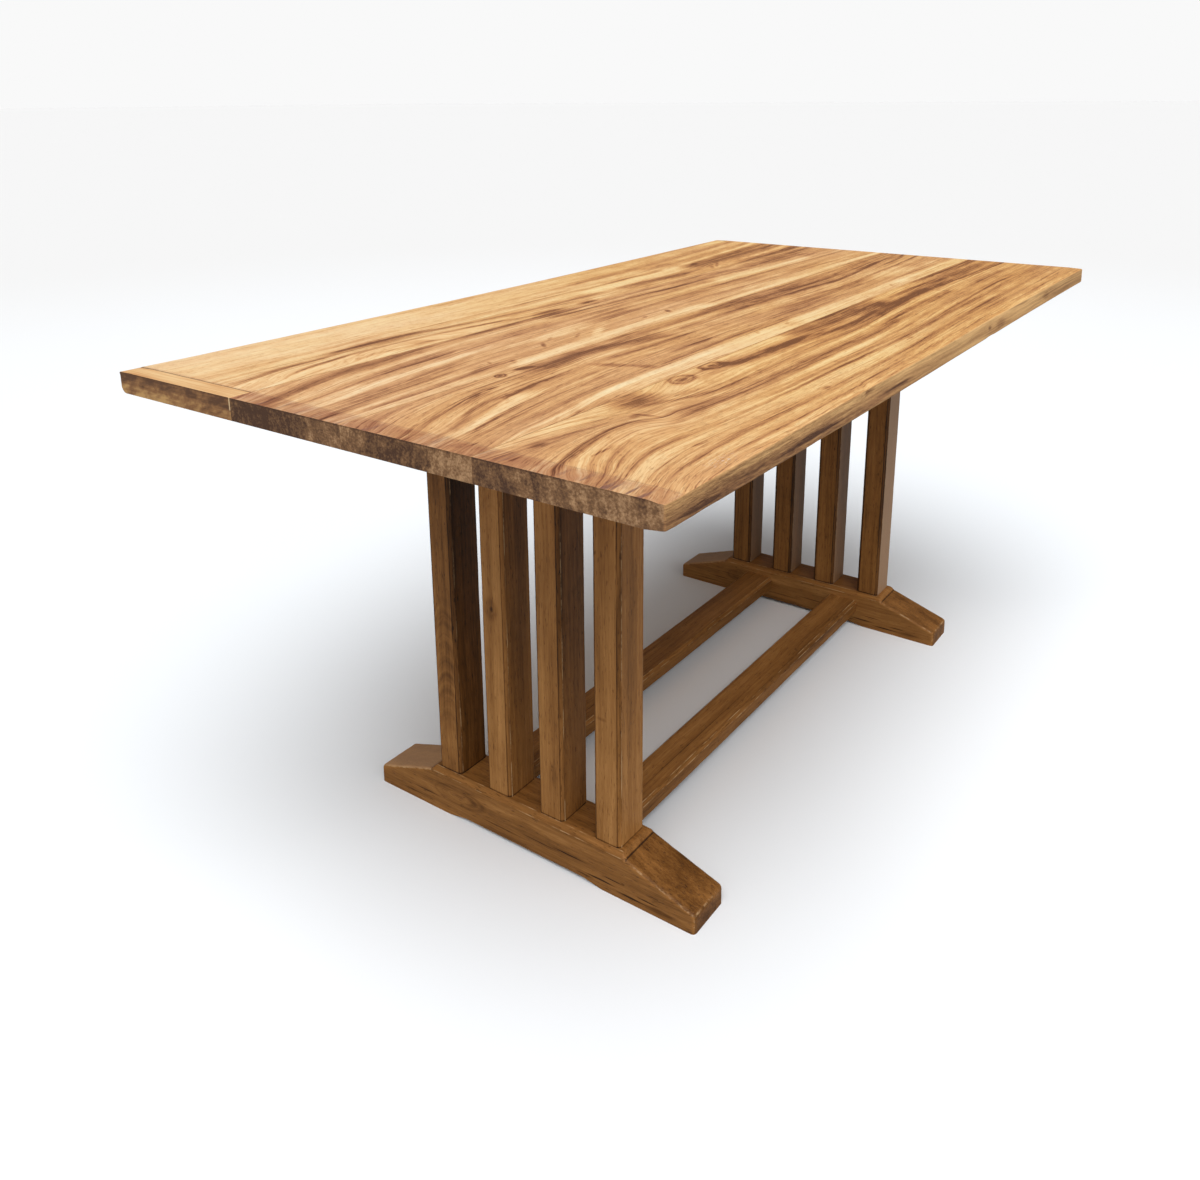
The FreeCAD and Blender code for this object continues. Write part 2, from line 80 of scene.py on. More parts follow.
# Figure of each top board, in millimetres of the table, with depths from 0 to 1, and below 0 where paler.
# The lean tilts the figure through the board, and sapwood turns to heartwood between two rows. The blush is
# cooler above 0 and warmer below. Tones along the board and across its sawn end are points of a smooth
# line. A flow line says how the fine grain bends sideways from its own row. A streak is (depth, half width,
# points along its middle). A patch is (depth, x, y, half length, half width, turn in degrees), and a thin
# one is a check. A knot is (depth, x, y, half length, half width) and pits are (x, y, half length, half
# width).
BOARDS = {
    "top_board_left_outer": {
        "seed": 1.7, "lean": -0.9, "sapwood": (330, 275),
        "blush": [(-825, 0.7), (-300, 0.35), (200, 0.0)],
        "tone": [(-825, 0.3), (-300, 0.33), (150, 0.43), (500, 0.5), (825, 0.5)],
        "end": [(200, 0.1), (442, 0.1)],
        "flow": [
            (380, [(-825, 0), (100, 0), (300, 3), (420, 12), (520, 24), (650, 32), (825, 54)]),
            (290, [(-825, -4), (-560, 0), (-480, 3), (-400, -2), (0, 0), (280, 1), (400, 10), (600, 22),
                   (825, 42)]),
            (250, [(-825, -4), (-740, 8), (-700, 18), (-620, 24), (-560, 35), (-500, 39), (-440, 37),
                   (-400, 28), (-350, 19), (-250, 8), (-150, 2), (0, 0), (190, 0), (330, 8), (440, 20),
                   (550, 26), (825, 36)]),
            (205, [(-825, -30), (-750, -10), (-616, 6), (-534, 20), (-475, 18), (-421, 6), (-300, 2),
                   (825, 8)]),
        ],
        "streaks": [
            (0.16, 5, [(-720, 308), (-560, 310), (-480, 313), (-400, 308)]),
            (0.16, 5, [(-290, 308), (-100, 309), (60, 312)]),
            (0.18, 5, [(-300, 295), (-150, 294), (0, 292)]),
            (0.46, 7, [(-800, 245), (-740, 252), (-700, 262), (-620, 268), (-560, 279), (-500, 283),
                       (-440, 281), (-400, 272), (-350, 263), (-250, 252), (-150, 246), (60, 243)]),
            (0.54, 4, [(-740, 212), (-703, 228), (-671, 238), (-625, 245), (-557, 250), (-475, 250),
                       (-398, 243), (-330, 234), (-262, 222), (-205, 212)]),
            (0.36, 4, [(-616, 206), (-589, 218), (-534, 222), (-475, 220), (-439, 215), (-415, 204)]),
            (0.26, 11, [(40, 345), (180, 348), (300, 350), (420, 358), (520, 370), (650, 378),
                        (760, 390), (825, 400)]),
            (0.22, 10, [(420, 320), (600, 332), (720, 340), (825, 350)]),
            (0.36, 5, [(-20, 289), (80, 287), (180, 290), (280, 290), (350, 295)]),
            (-0.3, 14, [(-20, 266), (200, 266), (330, 268), (400, 284)]),
            (-0.32, 5, [(380, 290), (480, 300), (600, 310), (740, 322), (825, 335)]),
            (0.36, 27, [(370, 262), (460, 268), (550, 274), (650, 275), (825, 282)]),
            (-0.26, 7, [(470, 221), (560, 232), (650, 232), (760, 240), (825, 248)]),
            (0.4, 12, [(60, 234), (190, 237), (300, 229), (360, 226)]),
            (0.28, 14, [(480, 207), (620, 208), (825, 212)]),
        ],
        "patches": [
            (0.36, -500, 276, 140, 25, -2), (0.24, -490, 212, 60, 12, 0), (0.5, -175, 210, 60, 17, -4),
            (0.54, -62, 207, 38, 17, 0), (0.18, 370, 325, 130, 22, 0), (0.34, 436, 278, 28, 10, 15),
            (0.38, 418, 223, 29, 6.4, 33), (0.3, 446, 228, 31, 4.8, 34), (0.27, 470, 240, 31, 4.8, 34),
            (-0.24, -15, 217, 26, 7, 0), (0.16, -200, 405, 260, 20, 0), (-0.22, 760, 420, 90, 16, 0),
        ],
        "knots": [], "pits": [],
    },
    "top_board_left_inner": {
        "seed": 4.1, "lean": 0.8, "sapwood": None,
        "blush": [(-825, 0.95), (-300, 0.65), (200, 0.35)],
        "tone": [(-825, 0.47), (-300, 0.5), (150, 0.51), (500, 0.5), (825, 0.5)],
        "end": [(0, 0.02), (50, 0.1), (100, 0.3), (150, 0.34), (200, 0.22)],
        "flow": [
            (190, [(-821, -58), (-785, -44), (-739, -28), (-703, -19), (-648, -12), (-580, -8),
                   (-512, -2), (-400, 2), (0, 0), (200, -4), (825, 0)]),
            (140, [(-821, -52), (-775, -41), (-725, -29), (-671, -18), (-603, -11), (-535, -6),
                   (-471, 0), (0, 4), (200, -4), (470, -14), (825, -10)]),
            (80, [(-825, -40), (-800, -36), (-720, -25), (-650, -16), (-560, -6), (-480, 0), (825, 0)]),
            (20, [(-825, -14), (-700, -10), (-600, -5), (-510, 0), (825, 0)]),
        ],
        "streaks": [
            (0.29, 11, [(-825, 130), (-785, 145), (-739, 161), (-703, 170), (-648, 177), (-580, 181),
                        (-512, 187), (-460, 191)]),
            (0.34, 6, [(-430, 192), (-375, 195), (-225, 195), (-140, 198)]),
            (0.27, 8, [(-825, 94), (-775, 106), (-725, 118), (-671, 129), (-603, 136), (-535, 141),
                       (-455, 148)]),
            (0.18, 10, [(-720, 106), (-671, 119), (-603, 126), (-480, 133)]),
            (-0.28, 5, [(-790, 78), (-740, 85), (-690, 98), (-600, 108), (-500, 113), (-430, 118)]),
            (0.27, 9, [(-800, 52), (-720, 63), (-650, 72), (-560, 82), (-480, 88)]),
            (0.36, 4, [(-825, 32), (-790, 40), (-700, 50), (-600, 57), (-530, 66)]),
            (-0.28, 5, [(-800, 26), (-700, 34), (-600, 40), (-520, 46)]),
            (0.3, 3.5, [(-790, 18), (-700, 20), (-600, 26), (-500, 34)]),
            (0.3, 4, [(-270, 186), (-120, 186), (0, 187), (100, 187), (200, 183), (280, 185),
                      (340, 193)]),
            (0.42, 4.5, [(-240, 176), (-90, 166), (0, 166), (60, 165), (130, 160), (200, 158),
                         (300, 155), (380, 152), (480, 147)]),
            (0.28, 4, [(140, 109), (230, 104), (320, 103), (420, 97), (520, 95), (640, 93), (825, 93)]),
            (-0.3, 20, [(230, 128), (330, 130), (520, 122), (700, 118)]),
            (-0.3, 15, [(-520, 18), (-300, 22), (-100, 20), (60, 16)]),
            (-0.24, 8, [(-20, 8), (500, 10), (825, 10)]),
        ],
        "patches": [
            (0.18, -330, 130, 190, 44, 0), (0.24, -110, 110, 150, 42, 0), (0.3, -170, 186, 80, 18, 0),
            (-0.22, -300, 92, 120, 26, 6), (0.34, 650, 168, 330, 62, 0), (0.2, 290, 175, 150, 24, 0),
            (0.14, 540, 52, 190, 16, 0), (0.49, -380, 56, 22, 5.6, 44), (0.33, -338, 77, 13, 4.8, 22),
            (0.3, -296, 56, 26, 4.8, 27), (0.3, -262, 84, 11, 4.8, 40), (0.46, -508, 50, 9, 4.8, 50),
            (0.38, -118, 48, 13, 6.4, 18), (0.55, -52, 43, 17, 8, 50), (-0.28, -255, 47, 44, 12, 24),
            (0.27, -482, 30, 17, 6.4, 40), (0.16, 100, 80, 130, 40, 0),
        ],
        "knots": [], "pits": [],
    },
    "top_board_right_inner": {
        "seed": 7.3, "lean": -0.7, "sapwood": None,
        "blush": [(-825, 0.85), (-300, 0.4), (200, 0.15)],
        "tone": [(-825, 0.49), (-300, 0.54), (150, 0.53), (500, 0.48), (825, 0.48)],
        "end": [(-200, -0.12), (-150, -0.02), (-100, 0.22), (-50, 0.16), (0, 0.04)],
        "flow": [
            (-10, [(-825, -40), (-790, -30), (-700, -16), (-600, -6), (-500, 0), (-300, -4), (0, -8),
                   (300, -10), (825, -4)]),
            (-50, [(-821, -56), (-785, -40), (-739, -27), (-694, -15), (-648, -4), (-600, 0), (-470, 6),
                   (-400, 12), (-300, 6), (-200, -4), (0, -8), (400, -22), (560, -14), (700, -2),
                   (825, 8)]),
            (-110, [(-825, -62), (-800, -57), (-700, -30), (-600, -14), (-500, -4), (-450, 0), (0, -2),
                    (370, -10), (560, -2), (825, 12)]),
            (-180, [(-825, -40), (-740, -20), (-680, -15), (-560, 4), (-400, 10), (-200, 8), (825, 6)]),
        ],
        "streaks": [
            (0.52, 7, [(-825, -99), (-785, -82), (-739, -69), (-694, -57), (-648, -46), (-590, -41)]),
            (0.46, 5, [(-780, -132), (-753, -110), (-725, -100), (-698, -87), (-657, -78), (-603, -77),
                       (-512, -71), (-460, -75)]),
            (-0.34, 6, [(-800, -148), (-760, -137), (-700, -118), (-640, -105), (-560, -98)]),
            (0.36, 4, [(-800, -156), (-700, -128), (-600, -112), (-500, -102), (-440, -97)]),
            (0.26, 4, [(-770, -164), (-640, -135), (-520, -122), (-430, -118)]),
            (-0.32, 5, [(-690, -193), (-620, -183), (-560, -173), (-470, -166)]),
            (0.46, 15, [(-540, -4), (-500, -16), (-470, -25), (-430, -26), (-400, -21), (-350, -25),
                        (-310, -35), (-260, -44), (-180, -51)]),
            (0.38, 5, [(-210, -50), (-100, -52), (0, -52), (90, -52)]),
            (0.38, 10, [(-330, -5), (-250, -9), (-150, -14), (20, -16)]),
            (0.38, 30, [(-40, -20), (150, -27), (300, -29), (500, -30), (650, -25), (825, -22)]),
            (0.4, 4, [(-410, -80), (-380, -75), (-330, -78), (-270, -80), (-150, -83)]),
            (0.26, 3.5, [(-400, -153), (-330, -150), (-200, -148), (-60, -148)]),
            (0.44, 4.5, [(180, -59), (300, -63), (400, -70), (500, -65), (560, -60), (640, -50),
                         (720, -44)]),
            (0.4, 4.5, [(640, -71), (740, -68), (825, -52)]),
            (0.32, 4, [(140, -94), (250, -100), (370, -110), (450, -107), (560, -100), (700, -97),
                       (825, -85)]),
            (-0.22, 18, [(-580, -184), (-400, -176), (-200, -176), (-30, -180)]),
            (-0.28, 15, [(-40, -182), (300, -181), (480, -178), (825, -182)]),
        ],
        "patches": [
            (0.6, -648, -46, 22, 6, 14), (0.5, -608, -42, 18, 5, 0), (0.34, -620, -82, 28, 6, -4),
            (0.85, -505, -8, 24, 8, -14), (0.34, -424, -97, 42, 16, -62),
            (0.26, -404, -140, 28, 15, -70), (0.24, -250, -124, 90, 14, 0),
            (0.22, 100, -130, 190, 24, 0), (0.24, 370, -125, 44, 10, 0),
            (0.39, -125, -168, 14, 5.6, 28), (0.3, -35, -173, 13, 4.8, 26),
            (0.27, 408, -182, 15, 4.8, 34), (-0.24, 470, -181, 50, 14, 0), (0.34, 110, -41, 36, 6, -8),
            (0.5, -792, -174, 12, 3, 0), (-0.2, -370, -57, 60, 10, 0), (0.18, -520, -40, 90, 22, 0),
            (-0.2, 560, -118, 160, 40, -6),
        ],
        "knots": [(0.6, -555, -9, 11, 9)], "pits": [],
    },
    "top_board_right_outer": {
        "seed": 9.9, "lean": 0.9, "sapwood": None,
        "blush": [(-825, 0.55), (-300, 0.0), (200, -0.4)],
        "tone": [(-825, 0.46), (-300, 0.44), (150, 0.47), (500, 0.54), (825, 0.55)],
        "end": [(-442, 0.12), (-400, -0.04), (-350, -0.08), (-300, 0.1), (-250, 0.18), (-200, 0.26)],
        "flow": [
            (-215, [(-825, 20), (-770, 12), (-690, -3), (-630, -18), (-575, -28), (-520, -30),
                    (-440, -10), (-350, -8), (-200, -10), (0, -14), (200, -10), (825, -2)]),
            (-280, [(-830, -10), (-740, 13), (-690, 22), (-660, 24), (-630, 18), (-595, -3), (-560, -5),
                    (-500, -15), (-450, -20), (-300, -20), (0, -24), (200, -12), (380, -8), (825, -8)]),
            (-345, [(-825, -32), (-800, -22), (-760, -5), (-720, 5), (-680, 7), (-620, 3), (-560, -3),
                    (-450, -8), (0, -16), (300, 0), (650, 6), (825, 6)]),
            (-410, [(-825, -24), (-800, -17), (-760, -5), (-700, 2), (-650, 5), (-500, 0), (300, 7),
                    (825, 7)]),
        ],
        "streaks": [
            (0.34, 2.5, [(-775, -206), (-690, -222), (-625, -242)]),
            (0.32, 2.5, [(-745, -200), (-680, -210), (-615, -232)]),
            (0.32, 2.5, [(-780, -222), (-700, -238), (-635, -252)]),
            (0.42, 5, [(-590, -247), (-539, -255), (-503, -269), (-466, -278), (-430, -280),
                       (-300, -276), (-200, -278), (0, -282), (100, -275), (200, -268), (300, -262),
                       (400, -258), (540, -255)]),
            (0.28, 3, [(-520, -254), (-460, -260), (-400, -263)]),
            (0.5, 10, [(-370, -220), (-330, -228), (-280, -238), (-200, -242), (-120, -248),
                       (-50, -258), (0, -262), (100, -258), (200, -258), (300, -254), (430, -251)]),
            (0.26, 3, [(-300, -226), (-200, -232), (-100, -238), (20, -248)]),
            (0.5, 20, [(-150, -204), (-80, -211), (0, -220), (100, -222), (200, -230), (270, -238)]),
            (0.48, 5, [(-825, -301), (-790, -290), (-740, -277), (-690, -268), (-660, -266),
                       (-630, -272), (-610, -285), (-590, -295)]),
            (0.4, 10, [(-610, -288), (-560, -295), (-500, -305), (-450, -312), (-300, -312),
                       (-150, -315), (0, -318), (80, -310), (200, -302), (300, -298), (450, -300)]),
            (0.36, 3.5, [(-810, -376), (-760, -355), (-720, -345), (-680, -343), (-620, -347),
                         (-560, -353), (-450, -358), (-300, -360), (0, -366), (200, -362),
                         (420, -358)]),
            (0.3, 3, [(-470, -349), (-300, -350), (-150, -353), (0, -358), (150, -355), (300, -350),
                      (450, -345), (680, -345)]),
            (0.36, 3.5, [(-810, -415), (-760, -400), (-700, -393), (-650, -390), (-500, -395),
                         (-300, -397), (0, -396), (150, -392), (300, -388), (450, -385)]),
            (0.26, 3.5, [(-700, -413), (-600, -415), (-450, -418), (-200, -418), (0, -420), (200, -420),
                         (620, -420)]),
            (0.5, 8, [(430, -206), (510, -208), (600, -210), (825, -213)]),
            (0.36, 6, [(270, -230), (400, -228), (500, -235), (620, -238), (825, -241)]),
            (0.36, 5, [(410, -262), (520, -262), (650, -270), (825, -276)]),
            (0.42, 4, [(-10, -203), (120, -203), (300, -204)]),
        ],
        "patches": [
            (0.55, -556, -222, 62, 40, -8), (0.26, -560, -309, 85, 13, 0), (0.2, 560, -246, 290, 34, 0),
            (0.26, 610, -308, 230, 15, 0), (0.49, 206, -236, 19, 8, 6), (0.26, 402, -285, 23, 5.6, -84),
            (0.38, -370, -388, 16, 7, 0), (0.32, -30, -375, 12, 5, 0), (0.39, -757, -233, 20, 6.4, -8),
            (0.4, -600, -268, 26, 6, -78), (0.26, -610, -258, 14, 8, 10),
            (-0.24, -690, -215, 80, 18, -12), (-0.22, -460, -238, 60, 16, 0),
            (0.33, -660, -372, 14, 4, -12), (0.4, -735, -302, 30, 3, 0),
            (-0.18, -200, -336, 260, 10, 0), (0.42, -336, -276, 12, 5, 0),
        ],
        "knots": [(0.46, -438, -217, 28, 17), (0.64, -352, -212, 30, 17)], "pits": [(-690, -417, 42, 14)],
    },
}

# Marks on the legs, in millimetres: (depth, across the leg, height, half width, half height). Then how much
# painted shade darkens the side faces of a leg, how much paler and greyer painted light makes the side
# faces of a far leg, and between which heights its grain bows in arcs.
LEG_MARKS = {
    "near_leg_1": [(0.14, 4, 600, 16, 90), (-0.14, -4, 130, 14, 40)],
    "near_leg_2": [(0.42, 3, 388, 5, 7), (-0.24, 3, 388, 11, 15), (0.32, 3, 388, 17, 25),
                   (0.16, 8, 615, 8, 46), (-0.12, -6, 250, 14, 120)],
    "near_leg_3": [(0.14, 14, 420, 5, 90), (0.12, -4, 150, 14, 26)],
    "near_leg_4": [(0.6, -10, 686, 3, 3.5), (0.14, 12, 380, 5, 120), (0.2, 8, 276, 12, 4)],
}
LEG_SIDE_SHADE = {"near_leg_1": 0.24, "near_leg_2": 0.16, "near_leg_3": 0.18, "near_leg_4": 0.03}
LEG_SIDE_LIGHT = {"far_leg_1": 0.4, "far_leg_2": 0.4, "far_leg_3": 0.45, "far_leg_4": 0.75}
LEG_CHEVRONS = {"near_leg_1": (0.14, 0.42), "near_leg_2": (0.52, 0.72)}

# Cracks and marks on the long faces of a foot: (depth, y, z, half length, half height) in millimetres
FOOT_MARKS = [
    (0.65, -148, 16, 34, 2.0), (0.6, -200, 10, 34, 2.0), (0.5, -90, 33, 42, 1.6), (0.55, -170, 26, 26, 1.6),
    (0.5, -228, 17, 24, 1.8), (0.45, -118, 12, 22, 1.4), (0.4, -30, 30, 46, 1.4), (0.3, 40, 22, 60, 2.0),
    (0.35, 200, 24, 40, 2.0), (0.3, 232, 12, 36, 2.0), (-0.22, 60, 50, 70, 9), (0.25, -250, 10, 40, 6),
    (-0.16, -60, 50, 60, 8), (0.2, 30, 10, 90, 5),
]

# Marks on the natural edges: (depth, x, z, half length, half height) in millimetres
EDGE_MARKS = [
    (0.45, -510, 741, 110, 5), (0.35, -335, 753, 24, 6), (0.30, -250, 742, 90, 4), (0.40, 180, 745, 12, 5),
    (0.25, 240, 744, 40, 9), (0.22, 540, 745, 30, 10), (-0.25, -650, 752, 90, 4), (-0.25, 300, 757, 300, 3),
    (-0.22, -420, 753, 60, 4), (0.30, -760, 738, 50, 5), (-0.20, 60, 737, 120, 4),
]

# Dents in the natural edges: (depth, x, z, half length, half height) in millimetres
EDGE_DENTS = {
    "top_board_left_outer": [(2, -200, 745, 30, 8)],
    "top_board_right_outer": [(4, -335, 754, 14, 7), (2, -300, 744, 50, 8), (2, -700, 742, 50, 3),
                              (1.5, 180, 735, 12, 6)],
}


def linear(red, green, blue):
    """Linear colour from the 0 to 255 values that a screen shows."""
    def channel(value):
        share = value / 255
        return share / 12.92 if share <= 0.04045 else ((share + 0.055) / 1.055) ** 2.4
    return tuple(channel(value) for value in (red, green, blue))


def length_property(name, description, default):
    """A length that a user would change, in metres."""
    return bpy.props.FloatProperty(
        name=name, description=description, default=default, min=0.0, unit="LENGTH")


def strength_property(name, description, default):
    """A strength of light that a user would change."""
    return bpy.props.FloatProperty(name=name, description=description, default=default, min=0.0)


def colour_property(name, description, red, green, blue):
    """A colour that a user would change."""
    default = linear(red, green, blue)
    return bpy.props.FloatVectorProperty(
        name=name, description=description, default=default, min=0.0, max=1.0, subtype="COLOR")


class TopSettings(bpy.types.PropertyGroup):
    """Sizes and colours of the table top."""
    arris: length_property("Arris", "Softening of the upper arrises", 1.4 * MM)
    seam: length_property("Seam", "Softening of the arrises along a seam", 0.6 * MM)
    natural_arris: length_property("Natural arris", "Rounding above the natural edges", 3.0 * MM)
    corner_radius: length_property("Corner radius", "Rounding of the near right corner", 6 * MM)
    left_under_radius: length_property("Left under radius", "Rounding below the left edge", 11 * MM)
    right_under_radius: length_property("Right under radius", "Rounding below the right edge", 4 * MM)
    lumps: length_property("Lumps", "Depth of the lumps on the natural edges", 1.5 * MM)
    pale: colour_property("Pale wood", "Sapwood and the palest bands", 253, 227, 170)
    light: colour_property("Light wood", "Pale bands", 243, 202, 140)
    golden: colour_property("Golden wood", "Most of the boards", 222, 168, 107)
    brown: colour_property("Brown wood", "Heartwood bands", 192, 136, 86)
    russet: colour_property("Russet wood", "Strong streaks", 162, 108, 66)
    dark: colour_property("Dark wood", "Darkest streaks and knots", 128, 82, 50)
    end_light: colour_property("Light end grain", "Pale rays across the sawn ends", 190, 150, 110)
    end_dark: colour_property("Dark end grain", "Most of the sawn ends", 84, 58, 42)


class BaseSettings(bpy.types.PropertyGroup):
    """Sizes and colours of the trestles and stretchers."""
    leg_chamfer: length_property("Leg chamfer", "Chamfer along the leg arrises", 5 * MM)
    arris: length_property("Arris", "Softening of every arris", 0.9 * MM)
    wear: length_property("Wear", "How far worn arrises wander", 0.35 * MM)
    toe_radius: length_property("Toe radius", "Rounding of the toe arrises", 6 * MM)
    light: colour_property("Light wood", "Palest grain", 190, 138, 80)
    middle: colour_property("Middle wood", "Most of the wood", 154, 105, 54)
    dark: colour_property("Dark wood", "Dark grain", 103, 65, 27)
    darkest: colour_property("Darkest wood", "Cracks and grime", 50, 30, 13)
    # Dusty wood: rubbed on the left toes, and painted light on the paler, greyer side faces of the far legs
    dusty_and_painted_light: colour_property("Dusty wood", "Rubbed left toes and sides of the far legs", 178, 144, 114)
    worn: colour_property("Worn arris", "Bare wood along worn arrises", 226, 190, 142)


class StageSettings(bpy.types.PropertyGroup):
    """Floor, lights and camera."""
    # Painted cool tint by the table, which cancels the warm light that the wood throws onto the floor
    floor: colour_property("Floor", "Colour of the floor by the table", 247, 251, 255)
    sky: strength_property("Sky", "Strength of the light from all round", 0.13)
    overhead: strength_property("Overhead", "Strength of the light from above", 3.05)
    end_side: strength_property("End side", "Strength of the light on the near end", 0.58)
    long_side: strength_property("Long side", "Strength of the light on the right side", 0.78)
    lens: bpy.props.FloatProperty(
        name="Lens", description="Focal length in millimetres", default=32.04, min=1.0)


class Amount:
    """A socket of a material, for sums that are written as plain expressions."""

    def __init__(self, finish, socket):
        self.finish = finish
        self.socket = socket

    def __add__(self, other):
        return self.finish.math("ADD", self, other)

    def __sub__(self, other):
        return self.finish.math("SUBTRACT", self, other)

    def __rsub__(self, other):
        return self.finish.math("SUBTRACT", other, self)

    def __mul__(self, other):
        return self.finish.math("MULTIPLY", self, other)

    def __truediv__(self, other):
        return self.finish.math("DIVIDE", self, other)

    def __abs__(self):
        return self.finish.math("ABSOLUTE", self)

    __radd__ = __add__
    __rmul__ = __mul__


class Finish:
    """A material under construction."""

    def __init__(self, name):
        self.material = bpy.data.materials.new(name)
        self.material.use_nodes = True
        self.tree = self.material.node_tree
        self.tree.nodes.clear()

    def node(self, kind, settings, sockets, output=0):
        """Adds a node, sets its settings, then its sockets, and gives one of its outputs, if it has any."""
        made = self.tree.nodes.new(kind)
        for name, value in settings.items():
            if name == "stops":
                self.set_stops(made.color_ramp, value)
            elif name == "points":
                self.set_points(made.mapping, value)
            else:
                setattr(made, name, value)
        for key, value in sockets.items():
            if isinstance(value, Amount):
                self.tree.links.new(value.socket, made.inputs[key])
            else:
                made.inputs[key].default_value = value
        return Amount(self, made.outputs[output]) if made.outputs else None

    @staticmethod
    def set_stops(ramp, stops):
        """Gives a colour ramp its stops, each a place and a colour."""
        while len(ramp.elements) < len(stops):
            ramp.elements.new(1.0)
        for element, (place, colour) in zip(ramp.elements, stops):
            element.position = place
            element.color = (*colour, 1.0)

    @staticmethod
    def set_points(mapping, points):
        """Gives a curve its points, level before the first and after the last."""
        mapping.use_clip = False
        mapping.extend = "HORIZONTAL"
        line = mapping.curves[0].points
        while len(line) < len(points):
            line.new(1.0, 1.0)
        for point, place in zip(line, points):
            point.location = place
        mapping.update()

    def math(self, operation, *values):
        """A Math node on numbers and sockets."""
        return self.node("ShaderNodeMath", {"operation": operation}, dict(enumerate(values)))

    def place(self):
        """The three Object coordinates of a surface point."""
        here = self.node("ShaderNodeTexCoord", {}, {}, "Object")
        return [self.node("ShaderNodeSeparateXYZ", {}, {0: here}, axis) for axis in range(3)]

    def facing(self):
        """How squarely the surface faces along each axis."""
        normal = self.node("ShaderNodeNewGeometry", {}, {}, "Normal")
        return [abs(self.node("ShaderNodeSeparateXYZ", {}, {0: normal}, axis)) for axis in range(3)]

    def vector(self, x, y, z):
        """A vector from three numbers."""
        return self.node("ShaderNodeCombineXYZ", {}, {0: x, 1: y, 2: z})

    def smooth(self, value, start, end, height=1.0):
        """Rises smoothly from 0 at the start to a height at the end, which may be the lower of the two."""
        first, last = (0.0, height) if start <= end else (height, 0.0)
        return self.node("ShaderNodeMapRange", {"interpolation_type": "SMOOTHSTEP"}, {
            0: value, 1: min(start, end), 2: max(start, end), 3: first, 4: last})

    def clouds(self, x, y, z, detail=2.0, roughness=0.5):
        """Noise between 0 and 1, at a scale that the three numbers carry."""
        return self.node("ShaderNodeTexNoise", {}, {
            "Vector": self.vector(x, y, z), "Scale": 1.0, "Detail": detail, "Roughness": roughness})

    def waver(self, x, y, z, detail=2.0, roughness=0.5):
        """The same noise, about 0."""
        return self.clouds(x, y, z, detail, roughness) - 0.5

    def curve(self, value, points):
        """A smooth line through points."""
        return self.node("ShaderNodeFloatCurve", {"points": points}, {"Factor": 1.0, "Value": value})

    def ramp(self, value, stops):
        """A colour from stops along a number."""
        return self.node("ShaderNodeValToRGB", {"stops": stops}, {0: value})

    def mix(self, share, first, second, blend="MIX"):
        """Two colours mixed by a share."""
        colours = [colour if isinstance(colour, Amount) else (*colour, 1.0) for colour in (first, second)]
        settings = {"data_type": "RGBA", "blend_type": blend}
        return self.node("ShaderNodeMix", settings, {0: share, 6: colours[0], 7: colours[1]}, 2)

    def oval(self, place, middle_x, middle_y, half_length, half_width, turn=0.0):
        """Distance from the middle of a turned oval, given in millimetres, which is 1 at its rim."""
        inside = self.node("ShaderNodeMapping", {"vector_type": "TEXTURE"}, {
            "Vector": place, "Location": (middle_x * MM, middle_y * MM, 0.0),
            "Rotation": (0.0, 0.0, math.radians(turn)), "Scale": (half_length * MM, half_width * MM, 1.0)})
        return self.node("ShaderNodeVectorMath", {"operation": "LENGTH"}, {0: inside}, "Value")

    def patch(self, place, depth, *oval):
        """A depth in the middle of an oval, and 0 at its rim."""
        return self.smooth(self.oval(place, *oval), 1.0, 0.22, depth)

    def surface(self, colour, roughness, height, bump, specular=0.5):
        """Ends the material with a shader of a colour, a roughness and small relief."""
        relief = self.node("ShaderNodeBump", {}, {"Strength": 1.0, "Distance": bump, "Height": height})
        shader = self.node("ShaderNodeBsdfPrincipled", {}, {
            "Base Color": colour, "Roughness": roughness, "Normal": relief, "Specular IOR Level": specular})
        self.node("ShaderNodeOutputMaterial", {}, {"Surface": shader})
        return self.material


def streak_mask(finish, x, across, depth, half_width, points):
    """A depth along the middle of a drawn streak, which thins out where it stops inside the board."""
    line = [(px * MM, py * MM) for px, py in points]
    off = abs(across - finish.curve(x, line))
    mask = finish.smooth(off, 1.9 * half_width * MM, 0.1 * half_width * MM, depth)
    start, end = line[0][0], line[-1][0]
    taper = min(0.2 * (end - start), 60 * MM)
    if start > NEAR_END + TOUCH:
        mask = mask * finish.smooth(x, start, start + taper)
    if end < FAR_END - TOUCH:
        mask = mask * finish.smooth(x, end, end - taper)
    return mask


def knot_depth(finish, x, y, wobble, middle_x, middle_y, half_length, half_width):
    """Uneven rings round a knot with a dark rim and a dark heart."""
    along = (x - middle_x) / half_length
    across = (y - middle_y) / half_width
    radius = finish.math("SQRT", along * along + across * across) + wobble
    rings = finish.clouds(radius * 5.0, along * 0.4, across * 0.4)
    inside = finish.smooth(radius, 1.3, 0.8)
    rim = finish.smooth(abs(radius - 0.82), 0.22, 0.0)
    heart = finish.smooth(radius, 0.45, 0.1)
    return inside * (rings * 1.5 - 0.35) + rim * 0.5 + heart * 0.5


def flow_of(finish, x, y, flow):
    """How far the fine grain is bent sideways, blended from each flow line to the next."""
    rows = [row * MM for row, line in flow]
    bends = [finish.curve(x, [(px * MM, py * MM) for px, py in line]) for row, line in flow]
    total = bends[0]
    for number in range(1, len(flow)):
        share = finish.smooth(y, rows[number - 1], rows[number])
        total = total + share * (bends[number] - bends[number - 1])
    return total


def top_colour(finish, colours, tone):
    """Colour of the top's wood from its tone, 0 the palest and 1 the darkest."""
    return finish.ramp(tone, [
        (0.0, colours.pale), (0.28, colours.light), (0.50, colours.golden), (0.72, colours.brown),
        (0.90, colours.russet), (1.0, colours.dark)])


